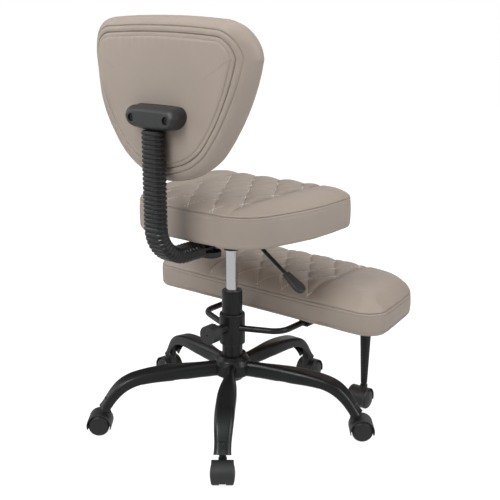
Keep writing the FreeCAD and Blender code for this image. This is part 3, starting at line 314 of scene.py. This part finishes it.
def plywood(name):
    """Birch plywood: long grain on the faces and dark glue lines between the plies."""
    m = Look(name)
    grain = m.noise(28.0, 6.0, 0.6, m.stretched(1.0, 9.0, 9.0))
    tone = m.blend(grain, (0.36, 0.22, 0.11, 1), (0.62, 0.45, 0.27, 1))
    split = m.add("ShaderNodeSeparateXYZ")
    m.put(split.inputs[0], m.place)
    plies = m.math("SINE", m.math("MULTIPLY", split.outputs["Z"], 2 * math.pi / (1.7 * MM)))
    tone = m.blend(m.spread(plies, 0.0, 0.35, 0.55, 1.0), tone, (0.13, 0.07, 0.035, 1))
    m.set(Base_Color=tone, Roughness=m.spread(grain, 0.6, 0.8), Normal=m.bump(grain, 0.15 * MM, 0.5))
    return m.material


def thread(name, tone):
    """Twisted sewing thread."""
    m = Look(name)
    shaded = (tone[0] * 0.7, tone[1] * 0.7, tone[2] * 0.7, 1)
    m.set(Base_Color=m.blend(m.noise(500.0), tone, shaded), Roughness=m.spread(m.noise(900.0), 0.5, 0.7))
    m.set(Normal=m.bump(m.noise(2600.0), 0.08 * MM, 0.6))
    return m.material


LEATHER = leather("taupe_leather_look", colour=(0.222, 0.184, 0.154, 1),
                  lighter=(0.246, 0.206, 0.174, 1), darker=(0.2, 0.168, 0.142, 1))
THREAD_LIGHT = thread("light_thread", (0.74, 0.69, 0.64, 1))
THREAD_TONE = thread("tone_thread", (0.42, 0.36, 0.31, 1))
FINISHES = {
    "black_paint": powder_coat("black_paint_look"),
    "chrome_tube": polished("chrome_look", tone=0.74, smoothest=0.1, roughest=0.2),
    "bright_steel": polished("steel_look", tone=0.55, smoothest=0.25, roughest=0.4),
    "black_plastic": moulded("plastic_look", tone=0.016, smoothest=0.42, roughest=0.56,
                             grain=1500.0, depth=0.12 * MM),
    "caster_nylon": moulded("nylon_look", tone=0.008, smoothest=0.36, roughest=0.5,
                            grain=900.0, depth=0.05 * MM),
    "boot_rubber": moulded("boot_look", tone=0.01, smoothest=0.24, roughest=0.34,
                           grain=700.0, depth=0.04 * MM),
    "dark_bolts": moulded("bolt_look", tone=0.015, smoothest=0.3, roughest=0.45,
                          grain=1200.0, depth=0.03 * MM),
    "plywood": plywood("plywood_look"),
}


def smooth_faces(item):
    for face in item.data.polygons:
        face.use_smooth = True


def finish_construction():
    """Give every carried-over node its finish, smooth shading and softened edges."""
    for row in frame["record"]["subparts"]:
        item = NODES[row["node"]]
        slot = row["material_slot"]
        if slot == "taupe_leather":
            continue
        item.data.materials.clear()
        item.data.materials.append(FINISHES["dark_bolts" if "stems" in row["node"] else slot])
        weld = item.modifiers.new("weld", "WELD")
        weld.merge_threshold = WELD_DISTANCE
        if slot in EDGE_ROUNDING and len(item.data.polygons) < ROUNDED_FACES:
            bevel = item.modifiers.new("rounded_edges", "BEVEL")
            bevel.width = EDGE_ROUNDING[slot]
            bevel.segments = 2
            bevel.limit_method = "ANGLE"
            bevel.angle_limit = ROUNDED_ANGLE
        smooth_faces(item)
        item.data.update()
        split = item.modifiers.new("sharp_edges", "EDGE_SPLIT")
        split.split_angle = BROKEN_ANGLE
        even = item.modifiers.new("even_shading", "WEIGHTED_NORMAL")
        even.weight = NORMAL_WEIGHT
        even.keep_sharp = True


# Outlines

def arc(first, middle, last, steps):
    """Places along the circle through three points, without the last one."""
    ax, ay = first
    bx, by = middle
    cx, cy = last
    double = 2 * (ax * (by - cy) + bx * (cy - ay) + cx * (ay - by))
    if abs(double) < 1e-9:
        return [(ax + (cx - ax) * k / steps, ay + (cy - ay) * k / steps) for k in range(steps)]
    sa, sb, sc = ax * ax + ay * ay, bx * bx + by * by, cx * cx + cy * cy
    ox = (sa * (by - cy) + sb * (cy - ay) + sc * (ay - by)) / double
    oy = (sa * (cx - bx) + sb * (ax - cx) + sc * (bx - ax)) / double
    radius = math.hypot(ax - ox, ay - oy)
    start = math.atan2(ay - oy, ax - ox)
    sweep = (math.atan2(cy - oy, cx - ox) - start) % (2 * math.pi)
    through = (math.atan2(by - oy, bx - ox) - start) % (2 * math.pi)
    if through > sweep:
        sweep -= 2 * math.pi
    return [(ox + radius * math.cos(start + sweep * k / steps),
             oy + radius * math.sin(start + sweep * k / steps)) for k in range(steps)]


def evenly(points, step):
    """A closed line with places at equal distances along it."""
    closed = np.vstack([points, points[:1]])
    lengths = np.linalg.norm(np.diff(closed, axis=0), axis=1)
    reach = np.concatenate([[0], np.cumsum(lengths)])
    count = int(round(reach[-1] / step))
    wanted = np.linspace(0, reach[-1], count, endpoint=False)
    return np.column_stack([np.interp(wanted, reach, closed[:, k]) for k in (0, 1)])


def outline(half):
    """The whole anticlockwise outline from its right half, whose ends lie on the middle line."""
    nodes = half + [(-x, y) for x, y in reversed(half[1:-1])]
    points = []
    for index in range(0, len(nodes), 2):
        points += arc(nodes[index], nodes[index + 1], nodes[(index + 2) % len(nodes)], ARC_STEPS)
    return evenly(np.array(points), MESH_STEP)


def outward(edge):
    """Unit vectors square to a closed line, pointing out of it, softened along the line."""
    along = np.roll(edge, -3, 0) - np.roll(edge, 3, 0)
    along /= np.linalg.norm(along, axis=1)[:, None]
    return np.column_stack([along[:, 1], -along[:, 0]])


def seat_outline(wide, front, rear):
    """The saddle from above: square in front, drawn in towards the rear."""
    return outline([
        (0, -front), (wide * 0.40, -front + 1 * MM), (wide * 0.72, -front + 8 * MM),
        (wide * 0.93, -front + 29 * MM), (wide, -front + 78 * MM), (wide * 0.98, -front * 0.03),
        (wide * 0.88, rear * 0.50), (wide * 0.72, rear * 0.86), (wide * 0.40, rear * 0.985),
        (wide * 0.20, rear * 0.996), (0, rear)])


def stool_outline(wide, front, rear):
    """The knee stool from above: a straight rear edge and a bowed front."""
    return outline([
        (0, front), (wide * 0.28, front + 3 * MM), (wide * 0.56, front + 13 * MM),
        (wide * 0.84, front + 52 * MM), (wide * 0.94, front + 120 * MM), (wide * 0.976, front + 195 * MM),
        (wide, rear - 50 * MM), (wide * 0.953, rear - 14 * MM), (wide * 0.84, rear),
        (wide * 0.42, rear + 0.4 * MM), (0, rear + 0.6 * MM)])


def back_outline(wide, low, high, widest):
    """The backrest from behind: a rounded triangle that stands on its tip."""
    span = widest - low
    return outline([
        (0, low), (wide * 0.30, low + span * 0.054), (wide * 0.565, low + span * 0.202),
        (wide * 0.866, low + span * 0.606), (wide, widest), (wide * 0.90, high - 31 * MM),
        (wide * 0.63, high - 5 * MM), (wide * 0.31, high - 1.2 * MM), (0, high)])


def core_line(edge, half, level):
    """For each place of an outline, the nearest place on a level middle line."""
    return np.column_stack([np.clip(edge[:, 0], -half, half), np.full(len(edge), level)])


def rows_inwards(edge, normal, core, square):
    """Rows of places from an outline to its core line, each with its distance from the outline."""
    insets = np.arange(MESH_STEP, square + MESH_STEP / 2, MESH_STEP)
    rows = [(edge - normal * inset, np.full(len(edge), inset)) for inset in insets]
    start, reached = rows[-1]
    gaps = np.linalg.norm(core - start, axis=1)
    count = int(np.median(gaps) / MESH_STEP)
    for k in range(1, count + 1):
        share = k / count
        rows.append((start + (core - start) * share, reached + gaps * share))
    return rows


# Meshes

def mesh_object(name, verts, faces, material):
    mesh = bpy.data.meshes.new(name)
    mesh.from_pydata([tuple(map(float, v)) for v in verts], [], faces)
    item = bpy.data.objects.new(name, mesh)
    bpy.context.scene.collection.objects.link(item)
    mesh.materials.append(material)
    return item


def closed_rows(name, rows):
    """A closed leather skin through rows of points; the first and last rows fold flat onto themselves."""
    count = len(rows[0])
    verts = np.vstack(rows)
    faces = []
    for row in range(len(rows) - 1):
        low = row * count
        for k in range(count):
            after = (k + 1) % count
            faces.append((low + k, low + after, low + count + after, low + count + k))
    item = mesh_object(name, verts, faces, LEATHER)
    bm = bmesh.new()
    bm.from_mesh(item.data)
    bmesh.ops.remove_doubles(bm, verts=bm.verts, dist=MERGE_DISTANCE)
    bmesh.ops.recalc_face_normals(bm, faces=bm.faces)
    bm.to_mesh(item.data)
    bm.free()
    smooth_faces(item)
    return item


def level_row(flat, z):
    """A row of places at one height, or at a height for each."""
    return np.column_stack([flat, np.broadcast_to(z, len(flat))])


def upright_row(flat, y):
    """A row of places in the backrest's plane, at one depth or at a depth for each."""
    return np.column_stack([flat[:, 0], np.broadcast_to(y, len(flat)), flat[:, 1]])


def ripple(item, amount, span, weight=None, seed=0.0):
    """Move a skin in and out along its normals by smooth noise."""
    item.data.update()
    shift = Vector((seed, seed * 1.7, -seed))
    moves = []
    for vertex in item.data.vertices:
        strength = amount if weight is None else amount * weight(vertex.co)
        moves.append(vertex.normal * (strength * noise.noise(vertex.co / span + shift)))
    for vertex, move in zip(item.data.vertices, moves):
        vertex.co += move
    item.data.update()


def smooth(value):
    """A soft step from 0 to 1."""
    value = np.clip(value, 0, 1)
    return value * value * (3 - 2 * value)


# Stitching

def surface_of(item):
    return BVHTree.FromPolygons([v.co for v in item.data.vertices],
                                [tuple(p.vertices) for p in item.data.polygons])


def drop_onto(tree, places, direction):
    """Where rays from places meet a skin: (place, normal) or None for a miss."""
    hits = []
    for place in places:
        spot, normal, _, _ = tree.ray_cast(Vector(place), Vector(direction), 0.3)
        hits.append(None if spot is None else (spot, normal))
    return hits


def refined(hits):
    """Three extra places between neighbours, so that a stitch can start anywhere."""
    out = []
    for here, after in zip(hits, hits[1:]):
        if here is None or after is None:
            out.append(None)
            continue
        for share in (0, 0.25, 0.5, 0.75):
            out.append((here[0].lerp(after[0], share), here[1].lerp(after[1], share).normalized()))
    return out


def unbroken(hits):
    """Split a list with misses into runs without any."""
    runs = [[]]
    for hit in hits:
        if hit is None:
            runs.append([])
        else:
            runs[-1].append(hit)
    return [run for run in runs if len(run) > SHORTEST_RUN]


def capsule(first, last, up, radius, verts, faces):
    """A short length of thread that dips into the leather at both ends."""
    along = (last - first).normalized()
    side = along.cross(up).normalized()
    stations = ((0.0, -0.9, 0.5), (0.18, 0.15, 0.95), (0.5, 0.35, 1.0), (0.82, 0.15, 0.95),
                (1.0, -0.9, 0.5))
    base = len(verts)
    for share, lift, girth in stations:
        centre = first.lerp(last, share) + up * (radius * lift)
        for k in range(THREAD_SIDES):
            angle = k * math.pi / (THREAD_SIDES / 2)
            verts.append(centre + (side * math.cos(angle) + up * math.sin(angle)) * radius * girth)
    for ring in range(len(stations) - 1):
        low = base + ring * THREAD_SIDES
        high = low + THREAD_SIDES
        for k in range(THREAD_SIDES):
            after = (k + 1) % THREAD_SIDES
            faces.append((low + k, low + after, high + after, high + k))
    top = base + THREAD_SIDES * (len(stations) - 1)
    faces.append(tuple(base + k for k in reversed(range(THREAD_SIDES))))
    faces.append(tuple(top + k for k in range(THREAD_SIDES)))


def stitch(name, runs, material, length=STITCH_LENGTH, gap=STITCH_GAP, radius=STITCH_RADIUS):
    """Rows of single stitches; each run is a list of (place, normal), evenly close together."""
    verts = []
    faces = []
    for run in runs:
        travelled = 0.0
        start = None
        for (here, normal), (after, _) in zip(run, run[1:]):
            if start is None:
                start = (here, normal, travelled)
            travelled += (after - here).length
            begun = travelled - start[2]
            if begun >= length and start[1] is not None:
                capsule(start[0], after, normal, radius, verts, faces)
                start = (after, None, travelled)
            elif start[1] is None and begun >= gap:
                start = (after, normal, travelled)
    item = mesh_object(name, verts, faces, material)
    smooth_faces(item)
    return item


def quilt_stitches(name, tree, quilt, y_low, y_high, top):
    """Thread along both families of quilting lines, inside the middle panel."""
    runs = []
    half = quilt["half"] - 2 * MM
    count = int(1.5 * (y_high - y_low) / quilt["pitch"]) + 6
    slope = math.tan(QUILT_ANGLE)
    for lean in (1, -1):
        for number in range(-count, count + 1):
            middle = quilt["start"] + number * quilt["pitch"] / math.cos(QUILT_ANGLE)
            xs = np.arange(-half, half, RAY_STEP)
            places = [(x, middle + lean * slope * x, top) for x in xs]
            places = [p for p in places if y_low < p[1] < y_high]
            runs += unbroken(drop_onto(tree, places, (0, 0, -1)))
    return stitch(name, runs, THREAD_LIGHT)


def topstitch(name, tree, edge, z):
    """One row of stitches round the boxing, just under its seam."""
    normal = outward(edge)
    far = edge + normal * 30 * MM
    hits = []
    for k in range(len(edge) + 1):
        spot = far[k % len(edge)]
        inwards = -normal[k % len(edge)]
        hit, face_normal, _, _ = tree.ray_cast(Vector((spot[0], spot[1], z)),
                                               Vector((inwards[0], inwards[1], 0)), 0.06)
        hits.append(None if hit is None else (hit, face_normal))
    return stitch(name, unbroken(refined(hits)), THREAD_TONE)


# Seat and knee stool

def quilting(x, y, pitch, start, half):
    """How far each place of the middle panel is puffed up, from 0 on a sewn line to 1."""
    u = ((y - start) * math.cos(QUILT_ANGLE) - x * math.sin(QUILT_ANGLE)) / pitch
    v = ((y - start) * math.cos(QUILT_ANGLE) + x * math.sin(QUILT_ANGLE)) / pitch
    puff = np.abs(np.sin(math.pi * u) * np.sin(math.pi * v)) ** PUFF_POWER
    border = smooth((half - np.abs(x)) / QUILT_BORDER) ** 0.5
    return puff * border


def sewn_down(x, y, quilt):
    """How far each place of the top is drawn down by the quilting and the middle panel's seams."""
    beside = np.abs(np.abs(x) - quilt["half"])
    groove = SEAM_DEPTH * np.exp(-(beside / SEAM_WIDTH) ** 2)
    quilted = QUILT_RISE * (1 - quilting(x, y, **quilt))
    shoulder = QUILT_RISE * SHOULDER_SHARE * (1 - smooth(beside / PANEL_SHOULDER))
    return np.where(np.abs(x) < quilt["half"], quilted, shoulder) + groove


def level_cushion(name, edge, bottom, seam, crown, core_half, core_y, quilt):
    """A flat cushion: boxing, seam, crowned top with a quilted middle panel, and a recess below."""
    normal = outward(edge)
    core = core_line(edge, core_half, core_y)
    ceiling = bottom + BOARD_ROOM
    rows = [level_row(core, ceiling)]

    def ring(inset, z):
        rows.append(level_row(edge - normal * inset, z))

    ring(BOARD_MARGIN, ceiling)
    ring(BOARD_MARGIN, bottom + 0.6 * MM)
    for turn in np.linspace(0, 1, 9):
        ring(BOARD_MARGIN + (FOOT_RADIUS - BOARD_MARGIN) * turn, bottom + 0.3 * MM * (1 - turn))
    for turn in np.linspace(0.1, 1, 9):
        angle = turn * math.pi / 2
        ring(FOOT_RADIUS - FOOT_TUCK * math.sin(angle), bottom + FOOT_RADIUS * (1 - math.cos(angle)))
    for share in np.linspace(0.16, 0.86, 26):
        belly = math.sin(math.pi * (share - 0.1) / 0.9)
        ring(BOXING_PULL - BOXING_PULL * belly, bottom + (seam - bottom) * share)
    for inset, rise in SEAM_LIP:
        ring(inset * MM, seam + rise * MM)
    for spots, inset in rows_inwards(edge - normal * TOP_START, normal, core, 18 * MM):
        deep = inset + TOP_START - LIP_HEIGHT
        bulge = 1 - (1 - np.clip(deep / CROWN_REACH, 0, 1)) ** CROWN_POWER
        z = seam + LIP_HEIGHT + (crown - seam - LIP_HEIGHT) * bulge
        fade = smooth((deep - 6 * MM) / (40 * MM))
        z = z - sewn_down(spots[:, 0], spots[:, 1], quilt) * (0.25 + 0.75 * fade)
        rows.append(level_row(spots, z))
    item = closed_rows(name, rows)

    def near_seam(place):
        return math.exp(-abs(place.z - seam) / (9 * MM))

    ripple(item, 1.1 * MM, 0.075, seed=3.1)
    ripple(item, 0.5 * MM, 0.028, seed=8.4)
    ripple(item, 0.5 * MM, 0.011, near_seam, seed=5.7)
    return item


def dress_level_cushion(pad, body, node, edge, seam, quilt, low, high):
    """Sew a level cushion and put it in the place of its construction node."""
    tree = surface_of(pad)
    quilted = quilt_stitches(body + "_quilt_stitches", tree, quilt, low.y + QUILT_MARGIN,
                             high.y - QUILT_MARGIN, high.z + 20 * MM)
    row = topstitch(body + "_topstitch", tree, edge, seam - TOPSTITCH_DROP)
    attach(pad, body)
    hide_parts(node)
    for item in (quilted, row):
        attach(item, body)


def make_seat():
    low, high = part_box("seat_cushion")
    edge = seat_outline(high.x, -low.y, high.y)
    pad = level_cushion("seat_pad", edge, low.z, SEAT_SEAM, high.z, SEAT_CORE,
                        (low.y + high.y) / 2, SEAT_QUILT)
    dress_level_cushion(pad, "seat", "seat_cushion", edge, SEAT_SEAM, SEAT_QUILT, low, high)


def make_stool():
    low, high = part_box("stool_cushion")
    edge = stool_outline(high.x * STOOL_FULLNESS, low.y, high.y)
    half_depth = (high.y - low.y) / 2
    pad = level_cushion("stool_pad", edge, low.z, STOOL_SEAM, high.z, high.x - half_depth,
                        (low.y + high.y) / 2, STOOL_QUILT)
    dress_level_cushion(pad, "stool", "stool_cushion", edge, STOOL_SEAM, STOOL_QUILT, low, high)


# Backrest

def back_pad(edge, normal, core, front, rear):
    """The backrest's cushion: a ledge for the rear panel, folded seams, sides and crowned front."""
    deep = rear - front
    ledge = edge - normal * PANEL_SEAM
    towards = (BACK_BOARD_ROOM - PANEL_SEAM) / np.linalg.norm(core - ledge, axis=1)
    hidden = ledge + (core - ledge) * towards[:, None]
    rows = [upright_row(core, rear - BOARD_ROOM), upright_row(hidden, rear - BOARD_ROOM),
            upright_row(hidden, rear)]

    def ring(inset, y):
        rows.append(upright_row(edge - normal * inset, y))

    for inset, rise in PLACKET:
        ring(inset * MM, rear + rise * MM)
    for share in np.linspace(0.45, 0.64, 8):
        ring(SIDE_PULL * smooth((share - 0.42) / 0.24), rear - deep * share)
    for inset, share in FRONT_GROOVE:
        ring(inset * MM, rear - deep * share)
    rim_inset, rim_share = FRONT_GROOVE[-1]
    start = rear - deep * rim_share
    for spots, inset in rows_inwards(edge - normal * rim_inset * MM, normal, core, 36 * MM):
        bulge = 1 - (1 - np.clip((inset + 1 * MM) / BACK_CROWN_REACH, 0, 1)) ** BACK_CROWN_POWER
        rows.append(upright_row(spots, start - (start - front) * bulge))
    pad = closed_rows("back_pad", rows)

    def on_rear(place):
        return 1.0 if place.y > rear - 30 * MM else 0.4

    ripple(pad, 1.0 * MM, 0.07, on_rear, seed=1.3)
    ripple(pad, 0.45 * MM, 0.018, on_rear, seed=6.1)
    return pad


def back_panel(edge, normal, core, rear, thick):
    """The upholstered panel that closes the back, with a rolled edge and gathers under its top seam."""
    inner = edge - normal * (PANEL_SEAM - PANEL_OVERLAP)
    toward = (core - inner) / np.linalg.norm(core - inner, axis=1)[:, None]
    rows = [upright_row(core, rear + PANEL_BASE), upright_row(inner, rear + PANEL_BASE)]
    for inset, share in PANEL_ROLL:
        rows.append(upright_row(inner + toward * inset * MM, rear + thick * share))
    rim_inset, rim_share = PANEL_ROLL[-1]
    for spots, _ in rows_inwards(inner + toward * rim_inset * MM, -toward, core, 2 * MM):
        rows.append(upright_row(spots, rear + thick * rim_share))
    panel = closed_rows("back_panel", rows)
    top = edge[:, 1].max() - PANEL_SEAM
    for vertex in panel.data.vertices:
        if vertex.co.y >= rear + 2 * MM:
            vertex.co.y -= gathers(vertex.co, top)
    panel.data.update()
    return panel


def gathers(place, top):
    """How deep the rear panel is pressed in: upright puckers, deepest near the top at the chair's left."""
    near_top = math.exp(-max(top - place.z, 0) / (16 * MM))
    weight = near_top * (0.35 + 0.65 * float(smooth((place.x + 0.05) / 0.2)))
    fold = 0.5 + 0.5 * math.sin(place.x / (3.1 * MM) + 2 * noise.noise(place / 0.03))
    broad = 0.5 + 0.5 * noise.noise(place / 0.09)
    return fold * weight * 1.1 * MM + broad * 0.15 * MM


def wrap_round(item, front, rear, wide):
    """Bend the back of the backrest forwards at both sides; its front stays where it is."""
    for vertex in item.data.vertices:
        share = max(abs(vertex.co.x) - WRAP_START, 0) / (wide - WRAP_START)
        depth = max(vertex.co.y - front, 0) / (rear - front)
        vertex.co.y -= WRAP_DEPTH * share ** 2 * min(depth, 1)
    item.data.update()


def back_stitches(pad, edge, normal, rear):
    """Thread in the leather's own tone on both sides of the zip seam."""
    tree = surface_of(pad)
    runs = []
    for inset in (ZIP_SEAM + 1.6 * MM, ZIP_SEAM - 2.2 * MM):
        flat = edge - normal * inset
        places = [(x, rear + 30 * MM, z) for x, z in np.vstack([flat, flat[:1]])]
        runs += unbroken(refined(drop_onto(tree, places, (0, -1, 0))))
    row = stitch("back_zip_stitches", runs, THREAD_TONE, length=2.6 * MM, gap=1.6 * MM, radius=0.3 * MM)
    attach(row, "backrest")


def make_back():
    low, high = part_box("back_cushion")
    _, panel_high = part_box("back_rear_panel")
    front, rear = low.y, high.y
    edge = back_outline(high.x * BACK_NARROWING, low.z, high.z, BACK_WIDEST)
    normal = outward(edge)
    core = core_line(edge, BACK_CORE, (low.z + high.z) / 2 + BACK_CORE_RISE)
    pad = back_pad(edge, normal, core, front, rear)
    panel = back_panel(edge, normal, core, rear, panel_high.y - rear)
    for item in (pad, panel):
        wrap_round(item, front, rear, edge[:, 0].max())
    for item, node in ((pad, "back_cushion"), (panel, "back_rear_panel")):
        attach(item, "backrest")
        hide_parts(node)
    back_stitches(pad, edge, normal, rear)


# Floor and light

def make_floor():
    """A plain pale floor that the camera sees as nearly white, with the chair's shadow on it."""
    m = Look("studio_floor")
    m.set(Base_Color=(0.86, 0.86, 0.86, 1), Roughness=0.9, Specular_IOR_Level=0.1)
    seen = m.add("ShaderNodeLightPath")
    direct = seen.outputs["Is Camera Ray"]
    mirrored = seen.outputs["Is Glossy Ray"]
    share = m.math("MAXIMUM", m.math("MULTIPLY", direct, FLOOR_GLOW_SHARE), mirrored)
    level = m.math("ADD", m.math("MULTIPLY", direct, FLOOR_GLOW), m.math("MULTIPLY", mirrored, FLOOR_MIRRORED))
    glow = m.add("ShaderNodeEmission", Color=(1, 1, 1, 1), Strength=level)
    mixed = m.add("ShaderNodeMixShader")
    for socket, value in zip(mixed.inputs, (share, m.shader.outputs[0], glow.outputs[0])):
        m.put(socket, value)
    m.put(m.tree.nodes["Material Output"].inputs["Surface"], mixed.outputs[0])
    reach = FLOOR_REACH
    corners = [(-reach, -reach, 0), (reach, -reach, 0), (reach, reach, 0), (-reach, reach, 0)]
    floor = mesh_object("studio_floor", corners, [(0, 1, 2, 3)], m.material)


def make_world():
    """White to the camera, even to matt pieces, and light strips with dark flags in mirrored light."""
    world = bpy.data.worlds.new("studio")
    bpy.context.scene.world = world
    world.use_nodes = True
    w = Nodes(world.node_tree)
    split = w.add("ShaderNodeSeparateXYZ")
    w.put(split.inputs[0], w.add("ShaderNodeTexCoord").outputs["Generated"])
    turn = w.math("ARCTAN2", split.outputs["Y"], split.outputs["X"])
    wave = w.math("SINE", w.math("MULTIPLY_ADD", turn, STRIP_COUNT, STRIP_TURN))
    strips = w.spread(wave, FLAG_LEVEL, STRIP_LEVEL, -0.4, 0.8)
    path = w.add("ShaderNodeLightPath")
    seen = w.math("MAXIMUM", path.outputs["Is Camera Ray"], path.outputs["Is Transmission Ray"])
    level = w.mix(path.outputs["Is Glossy Ray"], WORLD_LEVEL, strips)
    back = world.node_tree.nodes["Background"]
    w.put(back.inputs["Strength"], w.mix(seen, level, 1.0))
    w.put(back.inputs["Color"], (1, 1, 1, 1))


def softbox(name, azimuth, elevation, distance, width, height, power, mirrored):
    """A soft area light aimed at the chair from a direction round it, as the camera's is given."""
    a, e = math.radians(azimuth), math.radians(elevation)
    back = Vector((math.sin(a) * math.cos(e), -math.cos(a) * math.cos(e), math.sin(e)))
    data = bpy.data.lights.new(name, "AREA")
    data.shape = "RECTANGLE"
    data.size = width
    data.size_y = height
    data.energy = power
    lamp = bpy.data.objects.new(name, data)
    bpy.context.scene.collection.objects.link(lamp)
    lamp.visible_glossy = mirrored
    lamp.location = LAMP_TARGET + back * distance
    lamp.rotation_mode = "QUATERNION"
    lamp.rotation_quaternion = (-back).to_track_quat("-Z", "Y")


def make_light():
    for name, facts in LAMPS.items():
        softbox(name, *facts)
    bpy.context.scene.view_settings.view_transform = "Standard"


make_camera()
make_world()
make_light()
make_floor()
make_seat()
make_stool()
make_back()
finish_construction()
